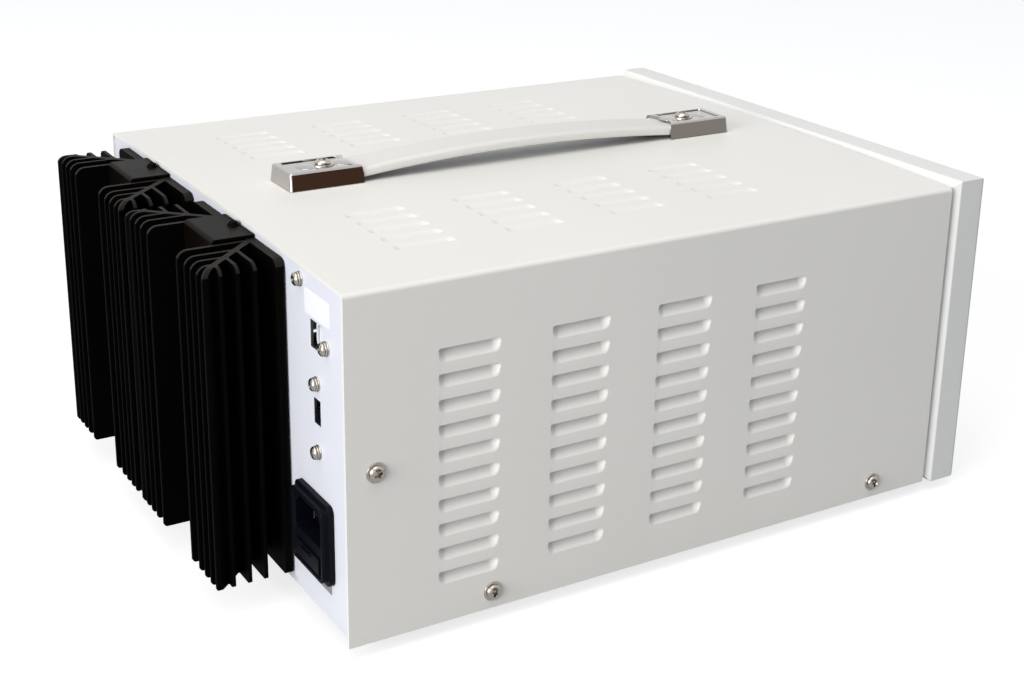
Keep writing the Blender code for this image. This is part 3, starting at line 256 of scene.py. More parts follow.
# %% [markdown]
# ## Helpers for making pieces
#
# Each piece is a bmesh in the case's millimetres. `piece` carries it into the frame, gives it
# its finish, rounds its sharp edges a little, because a real edge is never perfectly sharp,
# attaches it to the body it moves with, and hides the CAD solid it stands for. The modifiers are
# applied at once, so that edges sharper than an angle can be marked sharp on the final mesh
# and the rest shades smoothly. Last, large faces get the most say in the shading, so that a
# flat face stays flat right up to its rounded edge. The first helpers that shape a bmesh draw
# chains of edges and pull them into sheets, which is how the cover starts. The others come
# where they are first needed.

# %% Helpers that finish a piece


def settle(made):
    """Work an object's modifiers into its mesh."""
    bpy.context.view_layer.update()
    graph = bpy.context.evaluated_depsgraph_get()
    before = made.data
    made.data = bpy.data.meshes.new_from_object(made.evaluated_get(graph))
    made.modifiers.clear()
    bpy.data.meshes.remove(before)


def change(made, kind, settings):
    """Give an object one modifier, and work it in."""
    modifier = made.modifiers.new(kind.lower(), kind)
    for key, value in settings.items():
        setattr(modifier, key, value)
    settle(made)


def piece(name, bm, finish, body="case", replaces=(), edge=0.0, segments=2,
          sharp=38, modifiers=()):
    """Turn a bmesh in case millimetres into a finished object that rides on a body."""
    bmesh.ops.transform(bm, matrix=to_frame, verts=bm.verts)
    for face in bm.faces:
        face.smooth = True
    mesh = bpy.data.meshes.new(name)
    bm.to_mesh(mesh)
    bm.free()
    made = bpy.data.objects.new(name, mesh)
    scene.collection.objects.link(made)
    for each in finish if isinstance(finish, (list, tuple)) else [finish]:
        mesh.materials.append(each)
    for kind, settings in modifiers:
        change(made, kind, settings)
    if edge:
        change(made, "BEVEL", {"width": edge * MM, "segments": segments,
                               "limit_method": "ANGLE", "angle_limit": radians(30),
                               "use_clamp_overlap": True})
    made.data.set_sharp_from_angle(angle=radians(sharp))
    change(made, "WEIGHTED_NORMAL", {"keep_sharp": True, "weight": 100})
    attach(made, body)
    if replaces:
        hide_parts(*([replaces] if isinstance(replaces, str) else replaces))
    return made


print("solids that a piece can replace:", len(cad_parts))

# %% Helpers for chains and sheets
AXES = {"x": Vector((1, 0, 0)), "y": Vector((0, 1, 0)), "z": Vector((0, 0, 1))}


def moved(geom):
    """The vertices among what an operator returned."""
    return [item for item in geom if isinstance(item, bmesh.types.BMVert)]


def chain_of(bm, points):
    """The vertices and the edges of a chain through some points."""
    verts = [bm.verts.new(point) for point in points]
    return verts, [bm.edges.new(pair) for pair in zip(verts, verts[1:])]


def pull(bm, edges, way):
    """Extrude edges along a vector, and give back the edges at the far end."""
    grown = bmesh.ops.extrude_edge_only(bm, edges=edges)["geom"]
    bmesh.ops.translate(bm, vec=way, verts=moved(grown))
    return [item for item in grown if isinstance(item, bmesh.types.BMEdge)]


def look_out(bm, axis):
    """Turn all faces of an open sheet over if the farthest along an axis looks inwards."""
    way = AXES[axis]
    farthest = max(bm.faces, key=lambda face: face.calc_center_median().dot(way))
    if farthest.normal.dot(way) < 0:
        bmesh.ops.reverse_faces(bm, faces=bm.faces)


trial = bmesh.new()
chain = chain_of(trial, [(0, 0, 0), (0, 0, 5), (0, 5, 5)])[1]
pull(trial, chain, (10, 0, 0))
print("a chain of three points, pulled:", len(trial.faces), "faces")
trial.free()

# %% [markdown]
# ## Finishes
#
# Every finish here has the same three things that keep a surface from looking like plain
# computer plastic: its tone drifts slowly over a hand's width, its gloss drifts with it, and
# it has a fine relief. `finish` takes those from real sizes in millimetres. What differs from
# one to the next is the size and the direction of the relief, and whether it is grains or
# cells.

# %% Finishes


def finish(name, tones, rough, drift=90, grain=1.0, relief=0.02, strength=0.3,
           stretch=(1, 1, 1), cells=False, sockets=None):
    """A surface between two tones and two roughnesses, with a relief of a grain in mm."""
    made = bpy.data.materials.new(name)
    tree = emptied(made)
    place = node(tree, "TexCoord").outputs["Object"]
    cloud = node(tree, "TexNoise", {"Scale": 1 / (drift * MM), "Detail": 3.0}, {"Vector": place})
    tone = node(tree, "MixRGB", {"Color1": linear(tones[0]), "Color2": linear(tones[1])},
                {"Fac": cloud.outputs["Fac"]})
    gloss = node(tree, "MapRange", {"To Min": rough[0], "To Max": rough[1]},
                 {"Value": cloud.outputs["Fac"]})
    along = node(tree, "Mapping", {"Scale": stretch}, {"Vector": place})
    kind, height = ("TexVoronoi", "Distance") if cells else ("TexNoise", "Fac")
    fine = node(tree, kind, {"Scale": 1 / (grain * MM)}, {"Vector": along.outputs[0]})
    bump = node(tree, "Bump", {"Strength": strength, "Distance": relief * MM},
                {"Height": fine.outputs[height]})
    shader = node(tree, "BsdfPrincipled", sockets or {},
                  {"Base Color": tone.outputs[0], "Roughness": gloss.outputs[0],
                   "Normal": bump.outputs[0]})
    node(tree, "OutputMaterial", {}, {"Surface": shader.outputs[0]})
    return made


metal = {"Metallic": 1.0}
plastic = {"IOR": 1.53}
vinyl = {"drift": 50, "grain": 0.9, "relief": 0.05, "strength": 0.35, "cells": True,
         "sockets": plastic}

# Stoved enamel on steel: a satin film with a faint orange peel, a millimetre from bump to bump
cream_enamel = finish("cream_enamel", ("#F0EEE8", "#EAE8E2"), (0.38, 0.50), 110, 1.2, 0.05, 0.25)
white_enamel = finish("white_enamel", ("#E4E7EF", "#DEE1EA"), (0.34, 0.46), 110, 1.0, 0.05, 0.2)
# ABS from a spark eroded mould: an even matt, with a grain that only shows in the gloss
grey_abs = finish("grey_abs", ("#EBEBE8", "#E6E6E3"), (0.42, 0.52), 80, 0.35, 0.03,
                  sockets=plastic)
# Anodised aluminium: a deep black oxide that drinks light, drawn lines along the extrusion
black_anodised = finish("black_anodised", ("#050404", "#080706"), (0.42, 0.55), 60, 0.5,
                        stretch=(1, 1, 0.03), sockets={"Specular IOR Level": 0.01})
# The sawn ends of the extrusion: the same dye on a rougher ground, so browner and paler
sawn_anodised = finish("sawn_anodised", ("#15120F", "#1B1714"), (0.5, 0.62), 20, 0.6, 0.03, 0.5,
                       stretch=(1, 0.2, 1), sockets={"Specular IOR Level": 0.1})
# Black lacquer on steel sheet, thin enough to show a brown sheen where it is lit
black_lacquer = finish("black_lacquer", ("#0C0806", "#080504"), (0.3, 0.42), 40, 0.9, 0.03, 0.25,
                       sockets={"Specular IOR Level": 0.03})
# Glass filled nylon: blue black, with a dull moulded skin
black_nylon = finish("black_nylon", ("#0A0C14", "#08090F"), (0.36, 0.48), 30, 0.4, 0.03,
                     sockets={"Specular IOR Level": 0.08})
# Black ABS: greyer and glossier than the nylon
black_abs = finish("black_abs", ("#16161A", "#111114"), (0.3, 0.42), 30, 0.3, sockets=plastic)
# Nickel plate on turned steel: warm, bright, with fine marks round from the lathe
bright_nickel = finish("bright_nickel", ("#C2BDB5", "#A8A39B"), (0.16, 0.3), 4, 0.3,
                       sockets=metal)
# Chrome on a die casting: a mirror with slow waves left by the polishing
polished_chrome = finish("polished_chrome", ("#BAB8B6", "#B1AFAD"), (0.03, 0.09), 12, 9.0, 0.10,
                         0.25, sockets=metal)
# PVC strap: soft, a little milky, with a fine leather grain rolled into its face
pale_vinyl = finish("pale_vinyl", ("#E6E4DF", "#DEDCD7"), (0.4, 0.52), **vinyl)
# The strap's underside in black: painted shade, so that the shadow on the cover under it comes out
# darker
strap_shade_black = finish("strap_shade_black", ("#17161A", "#100F12"), (0.5, 0.62), **vinyl)
# Natural rubber filled with carbon black: matt, and pitted by the mould
black_rubber = finish("black_rubber", ("#1B1B1B", "#232323"), (0.7, 0.85), 15, 0.5, 0.05, 0.5)
print("finishes made")

# %% [markdown]
# ## Cover
#
# The cover is one sheet folded over the case: two sides and a slightly crowned top. Its
# louvres are lanced and pressed inwards by a die: each is cut along one long edge, and the
# metal beside the cut is pushed in, so it slopes back to the sheet and has a rounded pocket
# at each end. A section of the sheet is drawn as a chain of edges and extruded along the
# depth, with stations close together where a louvre is. Then every point inside a louvre is
# pushed in by a depth that depends only on how far it is from the cut and from the ends. On
# the sides the cuts are along the upper edges, and on the top they all face the same side.
# The metal bends in from the sheet and levels out towards the cut, as drawn metal does.

# %% Cover section and louvres
louvre_length, louvre_height = 26.7, 5.8
louvre_press, top_press = 2.6, 1.0
louvre_cut, louvre_end, louvre_corner = 0.8, 3.4, 2.6
louvre_flap = louvre_height - louvre_cut
louvre_rears = [depth - 38.4 - 49.7 * column for column in range(4)]
side_cuts = [115.4 - 10.35 * row for row in range(10)]
outer_rows = [half_width - 34.5 - 10.9 * row for row in range(5)]
top_cuts = sorted([-x for x in outer_rows] + [x - louvre_height for x in outer_rows])
louvre_steps = [0, 0.09, 0.18, 0.27, 0.36, 0.45, 0.54, 0.66, 0.82, 1.0]
bend_steps = 8
press_swing = 0.4 * pi


def press(along, up, deep=louvre_press):
    """How far the die pushed in a point, from its distance to the end and its height."""
    height_share = min(up / louvre_flap, 1)
    rounded = louvre_corner * (1 - sqrt(1 - (1 - height_share) ** 2))
    end_share = min(max(along - rounded, 0) / louvre_end, 1)
    return deep * sin(pi / 2 * end_share) * sin(press_swing * height_share) / sin(press_swing)


def side_chain(side):
    """One side of the outer section, from its bottom edge to the end of the bend."""
    points = [(half_width, 0), (half_width, 4)]
    for cut in reversed(side_cuts):
        low = cut - louvre_height
        points += [(half_width, low + louvre_flap * step) for step in louvre_steps]
        points.append((half_width, cut))
    for step in range(bend_steps + 1):
        angle = step * pi / 2 / bend_steps
        points.append((half_width - bend_radius * (1 - cos(angle)),
                       side_height - bend_radius * (1 - sin(angle))))
    return [(side * x, z) for x, z in points]


top_places = [-126, -118, -108, -36, -24, -12, 0, 12, 24, 36, 108, 118, 126]
for cut in top_cuts:
    top_places += [cut] + [cut + louvre_height - louvre_flap * step for step in louvre_steps]
cover_chain = (side_chain(-1) + [(x, crown(x)) for x in sorted(top_places)]
               + side_chain(1)[::-1])
print("louvres:", len(louvre_rears) * (2 * len(side_cuts) + len(top_cuts)))

# %% The sheet, drawn out along the depth
louvre_ends = [0, 0.45, 0.9, 1.35, 1.8, 2.3, 2.9, louvre_end]
cover_margin = 6.0
cover_stations = [cover_margin]
for rear in sorted(louvre_rears):
    front = rear - louvre_length
    straight = louvre_length - 2 * louvre_end
    cover_stations += [front + step for step in louvre_ends]
    cover_stations += [front + louvre_end + straight * share for share in (0.33, 0.67)]
    cover_stations += [rear - step for step in reversed(louvre_ends)]
cover_stations += [depth - cover_margin, depth]

bm = bmesh.new()
edges = chain_of(bm, [(x, 0, z) for x, z in cover_chain])[1]
at = 0
for station in cover_stations:
    edges = pull(bm, edges, (0, station - at, 0))
    at = station
print("stations along the depth:", len(cover_stations))

# %% Slots opened, louvres pressed in
slot_inset = 1.35
margin = 0.01
opened = []
for face in bm.faces:
    spot = face.calc_center_median()
    if not any(rear - louvre_length + slot_inset < spot.y < rear - slot_inset
               for rear in louvre_rears):
        continue
    on_side = abs(spot.x) > half_width - margin
    if on_side and any(cut - louvre_cut < spot.z < cut for cut in side_cuts):
        opened.append(face)
    elif spot.z > side_height and any(cut < spot.x < cut + louvre_cut for cut in top_cuts):
        opened.append(face)
bmesh.ops.delete(bm, geom=opened, context="FACES_KEEP_BOUNDARY")
for vert in bm.verts:
    x, y, z = vert.co
    for rear in louvre_rears:
        along = min(y - (rear - louvre_length), rear - y)
        if along <= 0:
            continue
        for cut in side_cuts if abs(x) > half_width - margin else ():
            if cut - louvre_height < z < cut - louvre_cut + margin:
                vert.co.x -= copysign(press(along, z - cut + louvre_height), x)
        for cut in top_cuts if z > side_height + margin else ():
            if cut + louvre_cut - margin < x < cut + louvre_height:
                vert.co.z -= press(along, cut + louvre_height - x, top_press)
bmesh.ops.recalc_face_normals(bm, faces=bm.faces)
look_out(bm, "x")
cover = piece("cover_sheet", bm, cream_enamel, replaces="cover",
              modifiers=[("SOLIDIFY", {"thickness": sheet * MM, "offset": -1,
                                       "use_even_offset": True})])
print("cover:", len(cover.data.polygons), "faces")

# %% [markdown]
# ## Heat sinks
#
# Each sink is an aluminium extrusion: a base plate, two upright walls that make a channel for
# the power transistor, and a slanting arm from the foot of each wall to the outer corner, with
# fins to the back and to the side. So the section is drawn once, flat. Bevelling its points
# gives the fillets at the roots and the round tips that a die leaves, and one extrusion makes
# the whole length. The ends of all the fins share one big rounding, as if the sawn length had
# been ground in one go, so the length is intersected with a rounded block.

# %% Helpers for solid shapes


def thicken(bm, faces, way):
    """Extrude flat faces along a vector."""
    grown = bmesh.ops.extrude_face_region(bm, geom=faces)["geom"]
    bmesh.ops.translate(bm, vec=way, verts=moved(grown))


def box(bm, low, high):
    """A box between two corners."""
    made = bmesh.ops.create_cube(bm, size=1)["verts"]
    bmesh.ops.scale(bm, vec=Vector(high) - Vector(low), verts=made)
    bmesh.ops.translate(bm, vec=(Vector(low) + Vector(high)) / 2, verts=made)
    return made


def round_off(bm, edges, size, segments=4):
    """Round some edges; one segment makes a chamfer."""
    bmesh.ops.bevel(bm, geom=edges, offset=size, offset_type="OFFSET", segments=segments,
                    profile=0.5, affect="EDGES", material=-1)


def round_corners(bm, verts, size, segments):
    """Round the corners of a flat outline."""
    bmesh.ops.bevel(bm, geom=verts, offset=size, offset_type="OFFSET", segments=segments,
                    profile=0.5, affect="VERTICES", material=-1)


def carve(bm, tool, operation="DIFFERENCE"):
    """Cut one bmesh with another, or join them. Both are used up, and a new one comes back."""
    pair = []
    for each in (bm, tool):
        bmesh.ops.recalc_face_normals(each, faces=each.faces)
        mesh = bpy.data.meshes.new("block")
        each.to_mesh(mesh)
        each.free()
        pair.append(bpy.data.objects.new("block", mesh))
        scene.collection.objects.link(pair[-1])
    modifier = pair[0].modifiers.new("carving", "BOOLEAN")
    modifier.operation, modifier.object = operation, pair[1]
    bpy.context.view_layer.update()
    result = bmesh.new()
    result.from_object(pair[0], bpy.context.evaluated_depsgraph_get())
    for each in pair:
        mesh = each.data
        bpy.data.objects.remove(each)
        bpy.data.meshes.remove(mesh)
    return result


def shaped(shape, *sizes):
    """A new bmesh with one shape in it: one of the shape functions, and its sizes."""
    bm = bmesh.new()
    shape(bm, *sizes)
    return bm


trial = shaped(box, (0, 0, 0), (20, 10, 5))
print("a box of 20 x 10 x 5: %.0f cubic mm" % trial.calc_volume())
trial.free()

# %% Section of a heat sink
sink_low, sink_high = span("heat_sink_near")
sink_wide, sink_deep, sink_long = sink_high - sink_low
sink_base, sink_root = 3.8, 3.0
sink_wall_at, sink_wall = 17.5, 1.9
sink_arm, sink_fin = 2.6, 1.5
sink_fin_shares = (0.319, 0.594, 0.869)
sink_chamfer = 1.2


def sink_section():
    """Half of the section, from the middle of the channel out to the end of the base."""
    side, tip = sink_wide / 2, sink_deep
    slope = (tip - sink_root) / (side - sink_wall_at)
    lift = sink_arm / 2 * sqrt(1 + slope ** 2)

    def arm(x):
        return sink_root + (x - sink_wall_at) * slope

    def arm_x(y):
        return sink_wall_at + (y - sink_root) / slope

    inner, outer = sink_wall_at - sink_wall / 2, sink_wall_at + sink_wall / 2
    fin = sink_fin / 2
    fins = [outer + share * (side - 1.5 * sink_arm - outer) for share in sink_fin_shares]
    points = [(inner, sink_base), (inner, tip), (outer, tip), (outer, arm(outer) + lift)]
    for x in fins:
        points += [(x - fin, arm(x - fin) + lift), (x - fin, tip), (x + fin, tip),
                   (x + fin, arm(x + fin) + lift)]
    points += [(arm_x(tip - lift), tip), (side, tip), (side, arm(side) - lift)]
    for x in reversed(fins):
        y = arm(x)
        points += [(arm_x(y + fin + lift), y + fin), (side, y + fin), (side, y - fin),
                   (arm_x(y - fin + lift), y - fin)]
    points += [(arm_x(sink_base + lift), sink_base), (side, sink_base), (side, sink_chamfer),
               (side - sink_chamfer, 0)]
    return points


def hollow_corner(vert, face):
    """Whether the outline turns inwards at this corner of the face."""
    corner = [loop for loop in vert.link_loops if loop.face == face][0]
    return not corner.is_convex


half_section = sink_section()
sink_outline = half_section + [(-x, y) for x, y in reversed(half_section)]
print("points in the section:", len(sink_outline))

# %% Heat sinks
root_fillet, tip_fillet, thinnest_tip = 0.9, 0.5, 1.1
top_rounding, foot_rounding = 4.5, 1.5
for name in ("near", "far"):
    low, high = span("heat_sink_" + name)
    centre = (low.x + high.x) / 2
    bm = bmesh.new()
    face = bm.faces.new([bm.verts.new((centre + x, low.y + y, low.z - 1))
                         for x, y in sink_outline])
    bm.normal_update()
    roots = [vert for vert in bm.verts if hollow_corner(vert, face)]
    round_corners(bm, roots, root_fillet, 3)
    bm.faces.ensure_lookup_table()
    face = bm.faces[0]
    tips = [vert for vert in bm.verts if not hollow_corner(vert, face)
            and min(edge.calc_length() for edge in vert.link_edges) > thinnest_tip]
    round_corners(bm, tips, tip_fillet, 3)
    thicken(bm, bm.faces[:], (0, 0, sink_long + 2))

    envelope = shaped(box, (low.x - 0.01, low.y - 1, low.z),
                      (high.x + 0.01, high.y + 0.01, high.z))
    for height, size, steps in ((high.z, top_rounding, 8), (low.z, foot_rounding, 4)):
        rim = [edge for edge in envelope.edges
               if all(abs(vert.co.z - height) < 0.01 for vert in edge.verts)
               and max(vert.co.y for vert in edge.verts) > high.y]
        round_off(envelope, rim, size, steps)
    bm = carve(bm, envelope, "INTERSECT")
    bm.normal_update()
    for face in bm.faces:
        face.material_index = int(abs(face.normal.z) > 0.3)
    sink = piece("heat_sink_%s_extrusion" % name, bm, [black_anodised, sawn_anodised],
                 replaces="heat_sink_" + name, edge=0.12, segments=1)
    print(sink.name, len(sink.data.polygons), "faces")

# %% [markdown]
# ## Transistor covers
#
# A strip of black sheet hooks over each channel: a flap on top, a bend, and a wall down the
# front. Like the cover it is a chain of edges pulled sideways, which Solidify turns to sheet.

# %% Transistor covers
flap_bend = 1.8
for name in ("near", "far"):
    low, high = span("transistor_cover_" + name)
    side_view = [(low.y, high.z)]
    for step in range(7):
        angle = step * pi / 12
        side_view.append((high.y - flap_bend * (1 - sin(angle)),
                          high.z - flap_bend * (1 - cos(angle))))
    side_view.append((high.y, low.z))
    bm = bmesh.new()
    edges = chain_of(bm, [(low.x, y, z) for y, z in side_view])[1]
    pull(bm, edges, (high.x - low.x, 0, 0))
    bm.normal_update()
    look_out(bm, "z")
    made = piece("transistor_cover_%s_sheet" % name, bm, black_lacquer,
                 replaces="transistor_cover_" + name, edge=0.25,
                 modifiers=[("SOLIDIFY", {"thickness": sheet * MM, "offset": -1})])
    print(made.name, "folded")

# %% [markdown]
# ## Screws
#
# The case is held by pan head screws, each with a washer under the head, and on the rear panel
# a spring washer too. The head is turned, so it is a lathe profile, and the cross recess is cut
# by two tapered bars and a cone. One screw is drawn about the origin, pointing up, and copied
# to every place.

# %% Helpers for turned, cut and copied shapes


def lathe(bm, profile, centre, axis="y", steps=48):
    """Spin a profile of (radius, distance along the axis) points about an axis."""
    along, centre = AXES[axis], Vector(centre)
    side = AXES["x"] if axis == "z" else AXES["z"]
    verts, edges = chain_of(bm, [centre + side * radius + along * place
                                 for radius, place in profile])
    bmesh.ops.spin(bm, geom=verts + edges, cent=centre, axis=along, angle=2 * pi, steps=steps,
                   use_merge=True)
    bmesh.ops.remove_doubles(bm, verts=bm.verts, dist=0.0005)
    bmesh.ops.recalc_face_normals(bm, faces=bm.faces)


def cut_away(bm, shape, *sizes):
    """Cut a shape out of a bmesh: one of the shape functions, and its sizes."""
    return carve(bm, shaped(shape, *sizes))


def copies(shape, spots):
    """One bmesh with a copy of a shape at each of some matrices. The shape is used up."""
    mesh = bpy.data.meshes.new("copy")
    shape.to_mesh(mesh)
    shape.free()
    bm = bmesh.new()
    for spot in spots:
        before = len(bm.verts)
        bm.from_mesh(mesh)
        bm.verts.ensure_lookup_table()
        bmesh.ops.transform(bm, matrix=spot, verts=bm.verts[before:])
    bpy.data.meshes.remove(mesh)
    return bm


def facing(place, out, turn=0.0):
    """The matrix that stands a shape drawn along z at a place, pointing out of a surface."""
    stand = Vector(out).to_track_quat("Z", "Y").to_matrix().to_4x4()
    return Matrix.Translation(Vector(place)) @ stand @ Matrix.Rotation(radians(turn), 4, "Z")


trial = shaped(lathe, [(0, 0), (5, 0), (5, 8), (0, 8)], (0, 0, 0), "z", 12)
print("a turned cylinder in 12 steps: %.0f cubic mm" % trial.calc_volume())
trial.free()

# %% A pan head screw with its washers
washer_thick, spring_thick = 0.65, 0.95


def pan_screw(radius, height, washer=0.0, spring=0.0, recess=0.7):
    """A screw head pointing up z: flat washer, spring washer, domed head, cross recess."""
    profile = [(0, 0)]
    base = 0
    if washer:
        profile += [(washer, 0), (washer, 0.5), (washer - 0.15, washer_thick)]
        base = washer_thick
    if spring:
        profile += [(spring - 0.7, base), (spring - 0.1, base + 0.14), (spring, base + 0.25),
                    (spring, base + 0.7), (spring - 0.1, base + 0.8),
                    (spring - 0.7, base + spring_thick)]
        base += spring_thick
    profile += [(radius * 0.8, base), (radius * 0.97, base + 0.15), (radius, base + 0.25)]
    for step in range(1, 8):
        angle = step * pi / 14
        profile.append((radius * cos(angle), base + 0.35 + (height - 0.35) * sin(angle)))
    top = base + height
    bm = shaped(lathe, profile + [(0, top)], (0, 0, 0), "z", 40)
    for turn in (0, 90):
        arm = shaped(box, (-radius * recess, -radius * 0.17, base + height * 0.15),
                     (radius * recess, radius * 0.17, top + 1))
        for vert in arm.verts:
            if vert.co.z < base + height * 0.5:
                vert.co.x *= 0.45
        bmesh.ops.rotate(arm, verts=arm.verts, cent=(0, 0, 0),
                         matrix=Matrix.Rotation(radians(turn), 3, "Z"))
        bm = carve(bm, arm)
    return cut_away(bm, lathe, [(0, base + height * 0.2), (radius * 0.2, base + height * 0.4),
                                (radius * 0.26, top + 1), (0, top + 1)], (0, 0, 0), "z", 12)


print("both washers under a head: %.2f mm" % (washer_thick + spring_thick))

# %% Screws on the sides and the rear
side_spots = []
for side in (-1, 1):
    for from_rear, z, turn in ((12.2, 71.3, 20), (62.7, 7.5, 65), (262.5, 7.6, -15)):
        side_spots.append(facing((side * half_width, depth - from_rear, z), (side, 0, 0), turn))
piece("side_screws", copies(pan_screw(3.2, 2.0, washer=4.1), side_spots), bright_nickel,
      sharp=50)

panel_low, panel_high = span("rear_panel")
panel_face = panel_high.y
rear_spots = []
for from_side, z, turn in ((38.7, 137.4, 30), (15.8, 117.2, 10), (25.1, 99.9, 55),
                           (25.1, 71.9, -20)):
    rear_spots.append(facing((from_side - half_width, panel_face, z), (0, 1, 0), turn))
piece("rear_screws", copies(pan_screw(2.65, 1.7, washer=2.95, spring=2.75), rear_spots),
      bright_nickel, sharp=50)

flap_spots = []
for name in ("near", "far"):
    low, high = span("transistor_cover_" + name)
    flap_spots.append(facing(((low.x + high.x) / 2, low.y + 2.9, high.z), (0, 0, 1), 25))
piece("flap_screws", copies(pan_screw(2.0, 1.2, washer=2.4), flap_spots), black_lacquer,
      sharp=50)
print("screws placed:", len(side_spots) + len(rear_spots) + len(flap_spots))

# %% [markdown]
# ## Strap handle
#
# The handle is a soft vinyl strap whose two ends run under chromed caps. The strap's section
# is a rectangle with rounded corners, pulled through stations along an arch. It lies level in
# the caps and rises a little between them, because its ends are pushed together. The faces
# that look down get a black second finish: painted shade, to darken the cover under it.

# %% Strap
strap_low, strap_high = span("handle_strap")
front_cap, rear_cap = span("handle_cap_front"), span("handle_cap_rear")
strap_thick, strap_corner = 4.8, 1.9
strap_rise = strap_high.z - strap_low.z - strap_thick
strap_lead = 10.0
strap_steps = 60


def strap_lift(y):
    """How far the strap stands above its level in the caps."""
    start, end = front_cap[1].y - strap_lead, rear_cap[0].y + strap_lead
    return strap_rise * sin(pi * min(max((y - start) / (end - start), 0), 1)) ** 0.8


bm = bmesh.new()
half = (strap_high.x - strap_low.x) / 2
corners = [(-half, 0), (half, 0), (half, strap_thick), (-half, strap_thick)]
bm.faces.new([bm.verts.new((x, strap_low.y, strap_low.z + z)) for x, z in corners])
round_corners(bm, bm.verts[:], strap_corner, 5)
bmesh.ops.delete(bm, geom=bm.faces[:], context="FACES_ONLY")
ring = bm.edges[:]
run = (strap_high.y - strap_low.y) / strap_steps
for step in range(strap_steps):
    y = strap_low.y + step * run
    ring = pull(bm, ring, (0, run, strap_lift(y + run) - strap_lift(y)))
bmesh.ops.holes_fill(bm, edges=[edge for edge in bm.edges if edge.is_boundary], sides=0)
bmesh.ops.recalc_face_normals(bm, faces=bm.faces)
bm.normal_update()
# Faces that look down take the black finish: painted shade under the strap
for face in bm.faces:
    face.material_index = int(face.normal.z < -0.8)
strap = piece("strap", bm, [pale_vinyl, strap_shade_black], replaces="handle_strap",
              sharp=60)
print("strap:", len(strap.data.polygons), "faces")

# %% [markdown]
# ## Chrome caps
#
# Each cap is a die casting: a box with sloping walls, hollow underneath for the strap. Its top
# has a raised border round a shallow dish, a scoop cut out of the end where the strap leaves,
# and a leaf shaped swelling to either side of the screw. It is carved like a wooden pattern
# would be: a tapered block, minus the dish, the scoop and the tunnel, plus the leaves.

# %% A block with rounded edges


def slab(bm, low, high, corner=0.0, axis="y", segments=5):
    """A box whose four edges along one axis are rounded."""
    corners = set(box(bm, low, high))
    way = "xyz".index(axis)
    posts = [edge for edge in bm.edges if set(edge.verts) <= corners
             and abs(edge.verts[0].co[way] - edge.verts[1].co[way]) > 0.001]
    if corner:
        round_off(bm, posts, corner, segments)


trial = shaped(slab, (0, 0, 0), (20, 10, 5), 2.0)
print("a block of 20 x 10 x 5, rounded: %.0f cubic mm" % trial.calc_volume())
trial.free()

# %% Caps and their screws
cap_wide, cap_long, cap_high = rear_cap[1] - rear_cap[0]
cap_slope, cap_lean = 0.185, 0.05
cap_border, cap_dish = 1.8, 0.45
scoop_radius, scoop_long, scoop_deep = 19.0, 3.5, 3.3
screw_from_end = 20.0
leaf_radii, leaf_from_screw = (5.2, 4.6, 0.8), 8.2


def drum(bm, radius, low, high):
    """A drum about the axis of the scoop."""
    lathe(bm, [(0, low), (radius, low), (radius, high), (0, high)],
          (0, scoop_long - scoop_radius, 0), "z", 96)


def cap_shape():
    """A cap with its scooped end at y = 0 and its outer end at y = cap_long."""
    half = cap_wide / 2
    bm = shaped(box, (-half, 0, 0), (half, cap_long, cap_high))
    for vert in bm.verts:
        if vert.co.z > cap_high / 2:
            vert.co.x *= 1 - cap_slope * cap_high / half
            vert.co.y -= cap_lean * cap_high if vert.co.y > cap_long / 2 else 0
    outer_corners = [edge for edge in bm.edges if all(v.co.y > cap_long / 2 for v in edge.verts)
                     and abs(edge.verts[0].co.z - edge.verts[1].co.z) > 1]
    round_off(bm, outer_corners, 1.2, 4)
    top_rim = [edge for edge in bm.edges if all(v.co.z > cap_high - 0.01 for v in edge.verts)
               and max(v.co.y for v in edge.verts) > 0.01]
    round_off(bm, top_rim, 0.9, 4)
    bm = cut_away(bm, drum, scoop_radius, cap_high - scoop_deep, cap_high + 1)
    inset = half - cap_slope * cap_high - cap_border
    dish = shaped(slab, (-inset, -1, cap_high - cap_dish),
                  (inset, cap_long - 2 * cap_border, cap_high + 1), 1.0, "z", 3)
    bm = carve(bm, cut_away(dish, drum, scoop_radius + cap_border, 0, cap_high + 3))
    bm = cut_away(bm, slab, (-10.2, -1, -1), (10.2, cap_long - 1.1, 5.6), 1.7, "y", 4)
    for way in (-1, 1):
        leaf = bmesh.new()
        bmesh.ops.create_uvsphere(leaf, u_segments=32, v_segments=12, radius=1)
        bmesh.ops.scale(leaf, vec=leaf_radii, verts=leaf.verts)
        along = cap_long - screw_from_end + way * leaf_from_screw
        bmesh.ops.translate(leaf, vec=(0, along, cap_high - cap_dish - 0.05), verts=leaf.verts)
        bm = carve(bm, leaf, "UNION")
    return bm


def cap_screw():
    """The domed screw in the dish, with its cross recess."""
    bm = pan_screw(3.6, 2.1, washer=5.0)
    spot = (0, cap_long - screw_from_end, cap_high - cap_dish - 0.1)
    bmesh.ops.translate(bm, vec=spot, verts=bm.verts)
    return bm


for name, (low, high), way in (("rear", rear_cap, 1), ("front", front_cap, -1)):
    outer_end = high.y if way > 0 else low.y
    turn = Matrix.Rotation(0 if way > 0 else pi, 4, "Z")
    stand = Matrix.Translation((0, outer_end - way * cap_long, low.z)) @ turn
    piece("cap_" + name, copies(cap_shape(), [stand]), polished_chrome,
          replaces="handle_cap_" + name, edge=0.15, sharp=30)
    piece("cap_screw_" + name, copies(cap_screw(), [stand]), bright_nickel,
          replaces="handle_screw_" + name, sharp=50)
print("handle made")

# %% [markdown]
# ## Rear panel
#
# The panel is a flat sheet with a flange folded forward at each side. Its plan is drawn as one
# bent strip with the fold's inner and outer radius, pulled up, and trimmed under the crown of
# the cover. It comes right up against the cover, as it does once the screws are tight. The
# openings for the fittings are punched last. A paper label and a small silver plate are stuck
# on it: thin slabs with rounded corners.

# %% Rear panel


